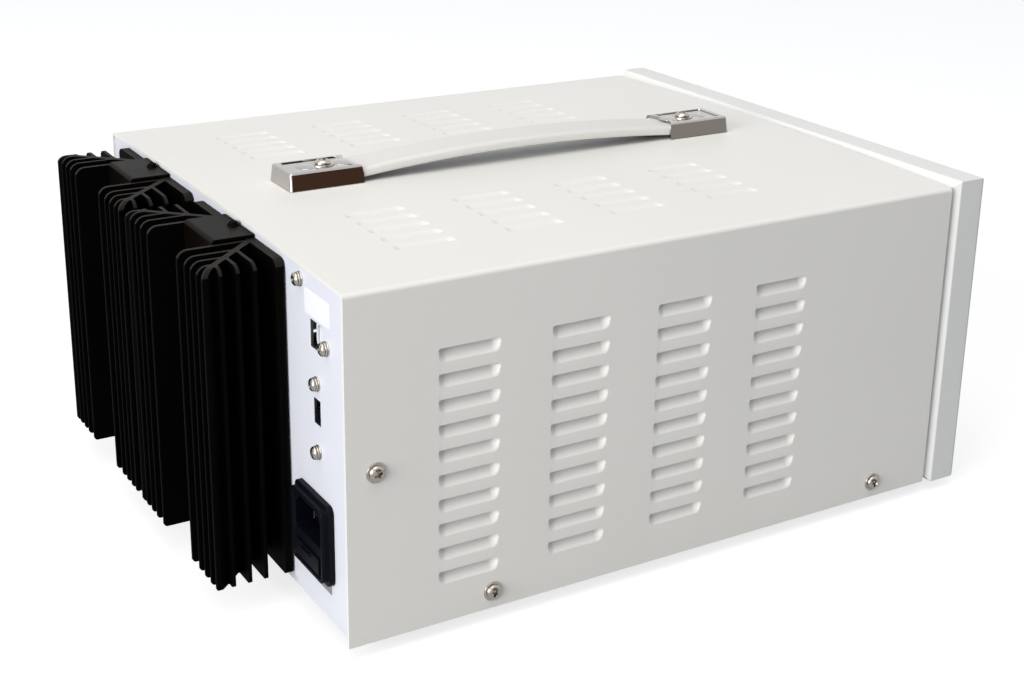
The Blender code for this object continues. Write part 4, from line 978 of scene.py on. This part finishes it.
def tile(bm, x, z, wide, high, near, far, corner=0.0, segments=5):
    """A slab that stands between two distances along y, with its middle at x and z."""
    slab(bm, (x - wide / 2, near, z - high / 2), (x + wide / 2, far, z + high / 2), corner, "y",
         segments)


def prism(bm, outline, along):
    """A flat outline pulled along a vector."""
    thicken(bm, [bm.faces.new([bm.verts.new(point) for point in outline])], along)
    bmesh.ops.recalc_face_normals(bm, faces=bm.faces)


panel_slack = 0.02
panel_end = half_width - sheet - panel_slack
panel_flange = 17
fold_outer, fold_inner = 1.7, 0.5
inner_end, inner_face, flange_end = panel_end - sheet, panel_face - sheet, panel_face - panel_flange
strip = [(-panel_end, flange_end), (-panel_end, panel_face), (panel_end, panel_face),
         (panel_end, flange_end), (inner_end, flange_end), (inner_end, inner_face),
         (-inner_end, inner_face), (-inner_end, flange_end)]
bm = bmesh.new()
bm.faces.new([bm.verts.new((x, y, panel_low.z)) for x, y in strip])
for folds, size in (([1, 2], fold_outer), ([5, 6], fold_inner)):
    spots = [Vector((*strip[number], panel_low.z)) for number in folds]
    corners = [vert for vert in bm.verts if min((vert.co - spot).length for spot in spots) < 0.01]
    round_corners(bm, corners, size, 5)
thicken(bm, bm.faces[:], (0, 0, side_height))

bend_low = side_height - bend_radius
under_cover = [(-panel_end - 1, panel_low.z - 1), (panel_end + 1, panel_low.z - 1),
               (panel_end + 1, bend_low), (panel_end, bend_low)]
for step in range(13):
    x = (half_width - bend_radius) * (1 - step / 6)
    under_cover.append((x, crown(x) - sheet - panel_slack))
under_cover += [(-panel_end, bend_low), (-panel_end - 1, bend_low)]
trim = shaped(prism, [(x, panel_face - 40, z) for x, z in under_cover], (0, 60, 0))
bm = carve(bm, trim, "INTERSECT")

# The walls of the punched openings: dark grey and dull
opening_wall_dark = finish("opening_wall_dark", ("#3A3A3C", "#2E2E30"), (0.5, 0.65), 5, 0.3, 0.03, 0.5)
punched = [("usb_socket", 10.7, 11.0, 0.3), ("voltage_selector_body", 5.8, 10.3, 0.3),
           ("inlet_body", 28.0, 30.0, 1.0)]
for solid, wide, high, corner in punched:
    spot = middle_of(solid)
    bm = cut_away(bm, tile, spot.x, spot.z, wide, high, panel_face - 5, panel_face + 5, corner, 3)
    # The walls of each opening take the dark grey finish
    for face in bm.faces:
        off = face.calc_center_median() - spot
        if (abs(face.normal.y) < 0.1 and abs(off.x) < wide / 2 + 0.1
                and abs(off.z) < high / 2 + 0.1):
            face.material_index = 1
piece("rear_sheet", bm, [white_enamel, opening_wall_dark], replaces="rear_panel",
      edge=0.18)
print("openings punched:", len(punched))

# %% Label and plate
# Self adhesive paper: whiter than the enamel, dull, with soft fibres
label_paper = finish("label_paper", ("#F1F2F8", "#ECEEF4"), (0.55, 0.65), 30, 0.6)
# Metallised film, as on a rating plate: satin grey
silver_film = finish("silver_film", ("#A2A3A6", "#8F9094"), (0.3, 0.42), 8, 0.5,
                     sockets={"Metallic": 0.5})
for name, look, left, right, foot, top, thick, corner in (
        ("blank_label", label_paper, 12.8, 34.7, 125.6, 135.3, 0.15, 0.8),
        ("blank_plate", silver_film, 15.9, 27.5, 15.0, 20.3, 0.12, 0.4)):
    piece(name, shaped(slab, (left - half_width, panel_face, foot),
                       (right - half_width, panel_face + thick, top), corner), look)
print("label and plate stuck on")

# %% [markdown]
# ## Mains inlet
#
# A moulded nylon inlet: a flange with rounded corners, a step on it, the keyed socket with its
# three blades, and a drawer for the fuse below. The socket's key is two cut corners at the top.

# %% Mains inlet


def join_on(bm, shape, *sizes):
    """Join a shape to a bmesh: one of the shape functions, and its sizes."""
    return carve(bm, shaped(shape, *sizes), "UNION")


def refined(solid, finish, edge, body="case", segments=2):
    """A merged copy of a CAD solid with softened edges, for shapes that are already right."""
    bm = bmesh.new()
    bm.from_mesh(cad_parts[solid].data)
    bmesh.ops.transform(bm, matrix=to_frame.inverted(), verts=bm.verts)
    bmesh.ops.remove_doubles(bm, verts=bm.verts, dist=0.002)
    bmesh.ops.dissolve_limit(bm, angle_limit=radians(0.5), use_dissolve_boundaries=False,
                             verts=bm.verts, edges=bm.edges)
    return piece(solid + "_dressed", bm, finish, body, solid, edge, segments)


inlet_low, inlet_high = span("inlet_body")
inlet_x, inlet_z = middle_of("inlet_body").xz
flange_back, inlet_front = panel_face + 0.05, inlet_high.y
inlet_step = 2.4
socket_z = inlet_z + 5.6
socket_wide, socket_high, socket_key, socket_deep = 12.1, 7.0, 4.0, 17.0
drawer_wide, drawer_high, drawer_deep, drawer_drop = 22.2, 7.4, 20.3, 9.4
blade_wide, blade_high = 2, 4


def inlet_slab(bm, inset, near, far, corner):
    """A block with the inlet's outline, smaller all round by an inset."""
    slab(bm, (inlet_low.x + inset, near, inlet_low.z + inset),
         (inlet_high.x - inset, far, inlet_high.z - inset), corner, "y", 8)


bm = shaped(inlet_slab, 0, flange_back, flange_back + inlet_step, 3.2)
bm = join_on(bm, inlet_slab, 1.5, flange_back + 1, inlet_front, 2.6)
bm = join_on(bm, inlet_slab, 2.4, inlet_low.y, flange_back + 1, 1.5)
bm = cut_away(bm, inlet_slab, 3.0, inlet_front - 0.7, inlet_front + 1, 1.6)
wide, high = socket_wide, socket_high
keyed = [(-wide, -high), (wide, -high), (wide, high - socket_key), (wide - socket_key, high),
         (-wide + socket_key, high), (-wide, high - socket_key)]
socket = shaped(prism, [(inlet_x + x, inlet_front - socket_deep, socket_z + z)
                        for x, z in keyed], (0, socket_deep + 1, 0))
round_off(socket, [edge for edge in socket.edges
                   if abs(edge.verts[0].co.y - edge.verts[1].co.y) > 1], 1.0, 4)
bm = carve(bm, socket)
bm = cut_away(bm, tile, inlet_x, inlet_z - drawer_drop, drawer_wide, drawer_high,
              inlet_front - drawer_deep, inlet_front + 1, 0.5)
piece("inlet", bm, black_nylon, replaces="inlet_body", edge=0.3, segments=3)

blades = bmesh.new()
for x, z, long in ((-7, -2, 10.5), (7, -2, 10.5), (0, 2, 13.8)):
    tip = inlet_front - socket_deep + long
    tile(blades, inlet_x + x, socket_z + z, blade_wide, blade_high, inlet_front - socket_deep,
         tip, 0.45, 4)
    point = [vert for vert in blades.verts if abs(vert.co.y - tip) < 0.01
             and abs(vert.co.x - inlet_x - x) < 1.1]
    bmesh.ops.scale(blades, vec=(0.7, 1, 0.8), verts=point,
                    space=Matrix.Translation((-inlet_x - x, 0, -socket_z - z)))
piece("inlet_blades", blades, bright_nickel, edge=0.12)
refined("fuse_drawer", black_nylon, 0.25, body="fuse_drawer")
print("mains inlet made")

# %% [markdown]
# ## Data socket and voltage selector
#
# Behind the square hole sits a square data socket: a white moulding with a block in the middle
# that carries the contacts. It stands back a little from the panel, so the edges of the hole
# shade it. The selector is a black body with a slider, and its CAD shape is already right.

# %% Data socket and selector
data_back, data_front = span("usb_socket")[0].y, panel_face - sheet - 0.7
data_x, data_z = middle_of("usb_socket").xz
data_x -= 0.4
milk_plastic = finish("milk_plastic", ("#EDF3F7", "#E6EDF2"), (0.3, 0.4), 20, 0.4, 0.02, 0.2,
                      sockets=plastic)
bm = shaped(tile, data_x, data_z, 9.2, 9.6, data_back, data_front, 2.0)
keyed = [(-3.9, -3.9), (3.9, -3.9), (3.9, 2.4), (2.4, 3.9), (-2.4, 3.9), (-3.9, 2.4)]
bm = cut_away(bm, prism, [(data_x + x, data_back + 1.5, data_z + z) for x, z in keyed],
              (0, 20, 0))
bm = join_on(bm, tile, data_x, data_z - 0.25, 6.6, 5.7, data_back + 1, data_front - 0.8, 0.4)
piece("data_socket", bm, milk_plastic, replaces="usb_socket", edge=0.2, segments=3)
refined("voltage_selector_body", black_nylon, 0.2)
refined("selector_slider", black_nylon, 0.25, body="selector_slider")
print("rear fittings made")

# %% [markdown]
# ## Front frame
#
# The front of the case is closed by a moulded frame, a little proud of the cover, with a
# shadow gap between them. Its rear edge is bevelled and its front edge is rounded. It is a
# block with those edges worked, cut through for the panel's window, then hollowed from behind
# so that a wall of even thickness is left.

# %% Front frame
low, high = span("front_bezel")
rear_bevel, front_round = 3.6, 2.5
rim, inner_round, wall = 9.0, 4.0, 5.0
panel_front = span("front_panel")[0].y


def loop_at(bm, y):
    """The edges of a block that lie at one distance along y."""
    return [edge for edge in bm.edges if all(abs(vert.co.y - y) < 0.01 for vert in edge.verts)]


bm = shaped(box, low, high)
round_off(bm, loop_at(bm, high.y), rear_bevel, 1)
round_off(bm, loop_at(bm, low.y), front_round, 6)
bm = cut_away(bm, slab, (low.x + rim, low.y - 1, low.z + rim),
              (high.x - rim, high.y + 1, high.z - rim), inner_round, "y", 8)
bm = cut_away(bm, slab, (low.x + wall, panel_front - 0.3, low.z + wall),
              (high.x - wall, high.y + 1, high.z - wall), 1.5, "y", 4)
made = piece("front_frame", bm, grey_abs, replaces="front_bezel",
             edge=0.35, segments=3, sharp=50)
print(made.name, len(made.data.polygons), "faces")

# %% [markdown]
# ## Front panel
#
# The panel is a flat plate, folded back along the top and the bottom. Its openings are drawn
# from the fittings that go through them, so they stay in line. The marks round the knobs and
# over the posts are screen printed: a film of ink, thin enough to catch no light.

# %% Front panel
# Powder coat in a pale warm grey, a coarser grain than enamel
panel_coat = finish("panel_coat", ("#DCDCD8", "#D6D6D2"), (0.45, 0.55), 90, 0.8, 0.05, 0.35)
# Screen printing ink: dense, nearly matt
dark_ink = finish("dark_ink", ("#2A2C30", "#26282C"), (0.6, 0.7), 20, 0.3, 0.01, 0.2)
white_ink = finish("white_ink", ("#EEEEEA", "#E8E8E4"), (0.5, 0.6), 20, 0.3, 0.01, 0.2)

plate_low, plate_high = span("front_panel")
plate_thick = 2.0
knob_names = ["voltage_knob_a", "current_knob_a", "current_knob_b", "voltage_knob_b"]
button_names = ["series_button", "parallel_button", "output_button"]
post_signs = {"a_1": "minus", "a_2": "ground", "a_3": "plus", "b_1": "minus", "b_2": "ground",
              "b_3": "plus", "fixed_1": "minus", "fixed_2": "plus"}
window_low, window_high = span("display_window")
window_wide, window_tall = (window_high - window_low).xz
window_lap = 3.0


def punch(bm, solid, wide, high, corner, segments=4):
    """Cut the hole with rounded corners that a fitting goes through."""
    spot = middle_of(solid)
    return cut_away(bm, tile, spot.x, spot.z, wide, high, panel_front - 2, panel_front + 5,
                    corner, segments)


bm = shaped(box, (plate_low.x, panel_front, plate_low.z),
            (plate_high.x, panel_front + plate_thick, plate_high.z))
for level in (plate_low.z, plate_high.z - sheet):
    bm = join_on(bm, box, (plate_low.x, panel_front + 1, level),
                 (plate_high.x, plate_high.y, level + sheet))
bm = punch(bm, "display_window", window_wide - 2 * window_lap, window_tall - 2 * window_lap, 0.6)
for name in button_names:
    bm = punch(bm, name, 9.8, 9.8, 0.8)
bm = punch(bm, "power_switch_body", 14, 22, 1.0)
round_holes = [(name, 3.4) for name in knob_names]
round_holes += [("post_cap_" + key, 4.2) for key in post_signs]
for name, radius in round_holes:
    bm = punch(bm, name, 2 * radius, 2 * radius, radius - 0.01, 8)
piece("front_plate", bm, panel_coat, replaces="front_panel", edge=0.2)
print("round holes:", len(round_holes))

# %% Printed marks
tick_count, tick_sweep, tick_from = 11, 270, 13.2
long_ticks = (0, tick_count // 2, tick_count - 1)
sign_up, bracket_z = 12.5, 9.5
ink = 0.06


def printed(bm, centre, wide, high, turn=0.0, out=0.0):
    """A printed bar: turned about the centre, and moved outwards from it."""
    made = box(bm, (-wide / 2, -ink, out - high / 2), (wide / 2, 0.2, out + high / 2))
    bmesh.ops.rotate(bm, verts=made, cent=(0, 0, 0), matrix=Matrix.Rotation(radians(turn), 3, "Y"))
    bmesh.ops.translate(bm, verts=made, vec=(centre.x, panel_front, centre.z))


bm = bmesh.new()
for name in knob_names:
    for tick in range(tick_count):
        turn = tick_sweep * (tick / (tick_count - 1) - 0.5)
        long = 2.6 if tick in long_ticks else 1.7
        printed(bm, middle_of(name), 0.5, long, turn, tick_from + long / 2)
for key, sign in post_signs.items():
    spot = middle_of("post_cap_" + key) + Vector((0, 0, sign_up))
    if sign == "ground":
        printed(bm, spot + Vector((0, 0, 1.2)), 0.5, 2.0)
        for row, wide in enumerate((4.0, 2.6, 1.2)):
            printed(bm, spot - Vector((0, 0, 0.9 * row)), wide, 0.45)
    else:
        printed(bm, spot, 3.6, 0.6)
    if sign == "plus":
        printed(bm, spot, 0.6, 3.6)
for group in (("a_1", "a_3"), ("b_1", "b_3"), ("fixed_1", "fixed_2")):
    left, right = (middle_of("post_cap_" + key).x for key in group)
    printed(bm, Vector(((left + right) / 2, 0, bracket_z)), right - left + 16, 0.4)
piece("printed_marks", bm, dark_ink)
print("marks printed round", len(knob_names), "knobs and over", len(post_signs), "posts")

# %% [markdown]
# ## Display
#
# Four blocks of seven segment digits stand behind a window of smoked acrylic. They are off, so
# their segments show only as a paler grey. Each segment is a bar with pointed ends, and one
# loop places all of them.

# %% Display window
# Cast acrylic with a grey dye: what is behind it stays visible but dim
smoked = bpy.data.materials.new("smoked_acrylic")
tree = emptied(smoked)
place = node(tree, "TexCoord").outputs["Object"]
cloud = node(tree, "TexNoise", {"Scale": 1 / (60 * MM), "Detail": 2.0}, {"Vector": place})
gloss = node(tree, "MapRange", {"To Min": 0.04, "To Max": 0.10}, {"Value": cloud.outputs["Fac"]})
shader = node(tree, "BsdfPrincipled",
              {"Base Color": linear("#6A5F5A"), "IOR": 1.49, "Transmission Weight": 1.0},
              {"Roughness": gloss.outputs[0]})
node(tree, "OutputMaterial", {}, {"Surface": shader.outputs[0]})
refined("display_window", smoked, 0.3)
print("window: %.0f wide, %.0f high" % (window_wide, window_tall))

# %% Digits
# The digits' cases: matt black, and their unlit segments: milky grey resin
digit_black = finish("digit_black", ("#0C0C0D", "#111112"), (0.6, 0.7), 20, 0.3, 0.01, 0.2)
digit_grey = finish("digit_grey", ("#8C8A86", "#83817D"), (0.45, 0.55), 15, 0.3, 0.01, 0.2)
board_y, digits_z = span("display_board")[0].y, middle_of("display_board").z
block_count, digits_in_block = 4, 4
block_gap, window_margin = 4, 14
block_pitch = (window_wide - window_margin + block_gap) / block_count
block_wide, block_high = block_pitch - block_gap, window_tall - 10
digit_wide, digit_high = 7.0, 13.0
bar_half, bar_proud = 0.75, 0.06


def segment(bm, x, z, long, upright):
    """One bar with pointed ends."""
    half = long / 2 - 0.25
    points = [(-half, 0), (bar_half - half, -bar_half), (half - bar_half, -bar_half), (half, 0),
              (half - bar_half, bar_half), (bar_half - half, bar_half)]
    if upright:
        points = [(b, a) for a, b in points]
    prism(bm, [(x + a, board_y - bar_proud, z + b) for a, b in points], (0, 0.1, 0))


cases, bars = bmesh.new(), bmesh.new()
for number in range(block_count):
    block_x = (number - (block_count - 1) / 2) * block_pitch
    tile(cases, block_x, digits_z, block_wide, block_high, board_y - 0.03, board_y + 4, 0.4, 2)
    for digit in range(digits_in_block):
        x = block_x + (digit - (digits_in_block - 1) / 2) * block_wide / digits_in_block
        for level in (-1, 0, 1):
            segment(bars, x, digits_z + level * digit_high / 2, digit_wide - bar_half, False)
        for side in (-1, 1):
            for level in (-1, 1):
                segment(bars, x + side * digit_wide / 2, digits_z + level * digit_high / 4,
                        digit_high / 2, True)
        tile(bars, x + 5, digits_z - digit_high / 2, 1.2, 1.2, board_y - bar_proud,
             board_y + 0.04, 0.5, 4)
piece("digit_cases", cases, digit_black)
piece("digit_segments", bars, digit_grey)
print("digits:", block_count * digits_in_block)

# %% [markdown]
# ## Knobs
#
# A turned skirt and a fluted grip with a slight taper for the mould, and a white line. The
# flutes are cut by a ring of rods set round the grip, leaning with its taper.

# %% Knobs


def flute(bm, middle, reach, count, rod, length, lean=0.0):
    """Cut the grooves of a grip with a ring of rods, which may lean outwards along y."""
    rods = bmesh.new()
    for number in range(count):
        angle = 2 * pi * number / count
        out = Vector((sin(angle), 0, cos(angle)))
        made = bmesh.ops.create_cone(rods, cap_ends=True, segments=10, radius1=rod, radius2=rod,
                                     depth=length)["verts"]
        stand = facing(middle + out * reach, AXES["y"] + out * lean)
        bmesh.ops.transform(rods, matrix=stand, verts=made)
    return carve(bm, rods)


# Thermoset knobs: charcoal, satin
charcoal = finish("charcoal_phenolic", ("#26272B", "#202125"), (0.35, 0.48), 15, 0.3,
                  sockets=plastic)
knob_long, bore, bore_deep = 14.0, 3.0, 1.5
flute_count = 24
for name in knob_names:
    low, high = span(name)
    centre = middle_of(name)
    skirt = (high.x - low.x) / 2
    front = low.y + 0.05
    back = low.y + knob_long
    profile = [(0, front), (8.0, front), (8.55, front + 0.2), (8.75, front + 0.7),
               (9.5, back - 3.2), (skirt - 0.6, back - 3.0), (skirt - 0.1, back - 2.7),
               (skirt, back - 2.2), (skirt, back), (7.5, back), (7.2, back - bore_deep),
               (bore, back - bore_deep), (bore, high.y), (0, high.y)]
    bm = shaped(lathe, profile, (centre.x, 0, centre.z), "y", 72)
    bm = flute(bm, Vector((centre.x, front + 5.9, centre.z)), 9.45, flute_count, 0.62, 9.4, 0.075)
    piece(name + "_turned", bm, charcoal, body=name, replaces=name, edge=0.08)
    line = shaped(tile, centre.x, centre.z + 5.6, 1.1, 4.8, low.y, low.y + 0.2)
    piece(name + "_line", line, white_ink, body=name)
print("knobs:", len(knob_names))

# %% [markdown]
# ## Buttons and power switch
#
# Each button is a square cap with a dished face, so that a finger stays on it. The power
# switch is a rocker in a snap-in frame, with the usual bar and circle.

# %% Buttons
pale_cap = finish("pale_cap", ("#D2D2CE", "#CBCBC7"), (0.38, 0.48), 15, 0.3, sockets=plastic)
green_cap = finish("green_cap", ("#3E8F5A", "#37844F"), (0.35, 0.45), 15, 0.3, sockets=plastic)
dish_radius, dish_deep = 22, 0.35
for name in button_names:
    low, high = span(name)
    centre = middle_of(name)
    bm = shaped(tile, centre.x, centre.z, 9, 9, low.y, panel_front + 2.6, 0.9, 4)
    round_off(bm, loop_at(bm, low.y), 0.5, 3)
    dish = bmesh.new()
    bmesh.ops.create_uvsphere(dish, u_segments=48, v_segments=32, radius=dish_radius)
    dish_at = (centre.x, low.y - dish_radius + dish_deep, centre.z)
    bmesh.ops.translate(dish, vec=dish_at, verts=dish.verts)
    bm = carve(bm, dish)
    bm = join_on(bm, slab, (low.x, panel_front + 2.3, low.z), (high.x, panel_front + 3.5, high.z),
                 0.5)
    bm = join_on(bm, tile, centre.x, centre.z, 4, 4, panel_front + 3, high.y, 0.3)
    look, slot = ((green_cap, "green_plastic") if name == "output_button"
                  else (pale_cap, "button_plastic"))
    piece(name + "_cap", bm, look, body=name, replaces=name, edge=0.1)
print("buttons:", len(button_names))

# %% Power switch
refined("power_switch_body", black_abs, 0.35, segments=3)
refined("power_rocker", black_abs, 0.4, body="power_rocker", segments=3)

# The rocker has a face for each way it tips, and each mark lies on the middle of its own
fronts = [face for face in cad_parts["power_rocker"].data.polygons if face.normal.y < -0.85]
rocker_middle = middle_of("power_rocker").z
mark_half, mark_proud = 1.8, 0.05
for symbol in ("circle", "bar"):
    half = []
    for face in fronts:
        spot = (Vector(face.center) - case_corner) / MM
        if (spot.z > rocker_middle) == (symbol == "bar"):
            half.append((face.area, spot, Vector(face.normal)))
    area = sum(size for size, spot, normal in half)
    spot = sum((spot * size for size, spot, normal in half), Vector()) / area
    normal = max(half, key=lambda item: item[0])[2]
    if symbol == "bar":
        mark = shaped(box, (-0.35, -mark_half, -mark_proud), (0.35, mark_half, mark_proud))
    else:
        ring = [(1.1, -mark_proud), (mark_half, -mark_proud), (mark_half, mark_proud),
                (1.1, mark_proud), (1.1, -mark_proud)]
        mark = shaped(lathe, ring, (0, 0, 0), "z", 32)
    bmesh.ops.transform(mark, matrix=facing(spot, normal), verts=mark.verts)
    piece("rocker_" + symbol, mark, white_ink, body="power_rocker")
print("switch made, with", len(fronts), "faces in front on its rocker")

# %% [markdown]
# ## Binding posts
#
# Each post is a nickel plated stud with a socket for a plug, a plastic collar against the
# panel, and a turning cap with flutes. The caps turn, so each rides on its own body.

# %% Posts
red_cap = finish("red_cap", ("#B3251F", "#A8211B"), (0.3, 0.4), 12, 0.3, sockets=plastic)
green_post = finish("green_post", ("#2E7D43", "#29733D"), (0.3, 0.4), 12, 0.3, sockets=plastic)
post_looks = {"minus": (black_abs, "black_plastic"), "ground": (green_post, "green_plastic"),
              "plus": (red_cap, "red_plastic")}
collar_front, collar_back = panel_front - 3.8, panel_front - 0.05
nut_radius, nut_thick = 6.3, 3
cap_flutes, cap_radius, cap_bore = 18, 7.0, 3.8
studs, collars = bmesh.new(), bmesh.new()
for key, sign in post_signs.items():
    low, high = span("post_stud_" + key)
    x, z = middle_of("post_stud_" + key).xz
    lathe(studs, [(0, panel_front - 0.3), (2.05, panel_front - 0.3), (2.05, low.y + 0.6),
                  (2.5, low.y), (3.1, low.y), (3.4, low.y + 0.3), (3.4, collar_front + 1),
                  (3.9, collar_front + 1), (3.9, high.y), (0, high.y)],
          (x, 0, z), "y", 32)
    lathe(collars, [(3.45, collar_front), (6.1, collar_front), (6.5, collar_front + 0.4),
                    (6.5, collar_back), (3.45, collar_back), (3.45, collar_front)],
          (x, 0, z), "y", 40)
    nut = bmesh.ops.create_cone(studs, cap_ends=True, segments=6, radius1=nut_radius,
                                radius2=nut_radius, depth=nut_thick)["verts"]
    stand = facing((x, panel_front + plate_thick + 1.8, z), (0, 1, 0))
    bmesh.ops.transform(studs, matrix=stand, verts=nut)

    low, high = span("post_cap_" + key)
    profile = [(cap_bore, low.y), (5.9, low.y), (6.6, low.y + 0.5), (cap_radius, low.y + 1.2),
               (cap_radius, high.y - 1.0), (6.6, high.y), (cap_bore, high.y), (cap_bore, low.y)]
    cap = shaped(lathe, profile, (x, 0, z), "y", 72)
    long = high.y - low.y
    cap = flute(cap, Vector((x, low.y - 0.9 + long / 2, z)), cap_radius + 0.15, cap_flutes, 0.6,
                long - 2.2)
    look, slot = post_looks[sign]
    piece("post_cap_%s_fluted" % key, cap, look, body="post_cap_" + key,
          replaces="post_cap_" + key, edge=0.08)
piece("post_studs", studs, bright_nickel, replaces=["post_stud_" + key for key in post_signs],
      edge=0.1)
piece("post_collars", collars, black_abs, edge=0.1)
print("posts:", len(post_signs))

# %% [markdown]
# ## Feet, floor of the case, and what is inside
#
# The feet are turned rubber, each held by a screw in its hollow. What is inside the closed
# case keeps its CAD shape, and gets the finish of the real part.

# %% Feet
feet = bmesh.new()
foot_screws = []
foot_names = ["foot_front_left", "foot_front_right", "foot_rear_left", "foot_rear_right"]
hollow_deep = 3.2
for name in foot_names:
    low, high = span(name)
    x, y = middle_of(name).xy
    radius = (high.x - low.x) / 2
    profile = [(0, high.z), (radius - 0.3, high.z), (radius, high.z - 0.3),
               (radius, high.z - 1.3), (radius - 1.0, low.z + 0.9), (radius - 1.3, low.z + 0.3),
               (radius - 1.9, low.z), (5.2, low.z), (4.6, low.z + 0.4),
               (4.4, low.z + hollow_deep), (0, low.z + hollow_deep)]
    lathe(feet, profile, (x, y, 0), "z", 48)
    foot_screws.append(facing((x, y, low.z + hollow_deep), (0, 0, -1), 35))
piece("feet", feet, black_rubber, replaces=foot_names, edge=0.15)
piece("foot_screws", copies(pan_screw(3.4, 1.8), foot_screws), bright_nickel,
      sharp=50)
print("feet:", len(foot_names))

# %% Floor of the case and the parts inside


def coat(solid, finish):
    """Give a CAD solid that keeps its shape a real finish."""
    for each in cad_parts[solid].material_slots:
        each.material = finish


# Epoxy glass board with a green solder mask
green_board = finish("solder_mask", ("#1F6B3C", "#1A6136"), (0.3, 0.42), 25, 0.5)
# Transformer core: a stack of varnished steel sheets, half a millimetre each
laminations = finish("varnished_laminations", ("#4A4C50", "#5A5650"), (0.4, 0.55), 12, 0.5, 0.05,
                     0.6, stretch=(0.02, 1, 0.02), sockets={"Metallic": 0.7})
# Coil: polyester tape over the winding, glossy and a little uneven
yellow_tape = finish("winding_tape", ("#C9A23A", "#BD9530"), (0.25, 0.38), 18, 3.0, 0.08, 0.4)
# Capacitors: a shrunk PVC sleeve
blue_sleeve = finish("shrunk_sleeve", ("#1E2A4A", "#1A2441"), (0.25, 0.35), 18, 2.0, 0.04,
                     sockets=plastic)
inside = [("chassis_tray", white_enamel), ("main_board", green_board),
          ("control_board", green_board), ("display_board", green_board),
          ("filter_capacitor_a", blue_sleeve), ("filter_capacitor_b", blue_sleeve),
          ("power_transistor_near", bright_nickel), ("power_transistor_far", bright_nickel),
          ("fuse_link", bright_nickel), ("transformer_core", laminations),
          ("transformer_coil", yellow_tape)]
for solid, look in inside:
    coat(solid, look)
print("solids that keep their shape:", len(inside))

# %% [markdown]
# ## The end
#

# %% The end
print("scene dressed")
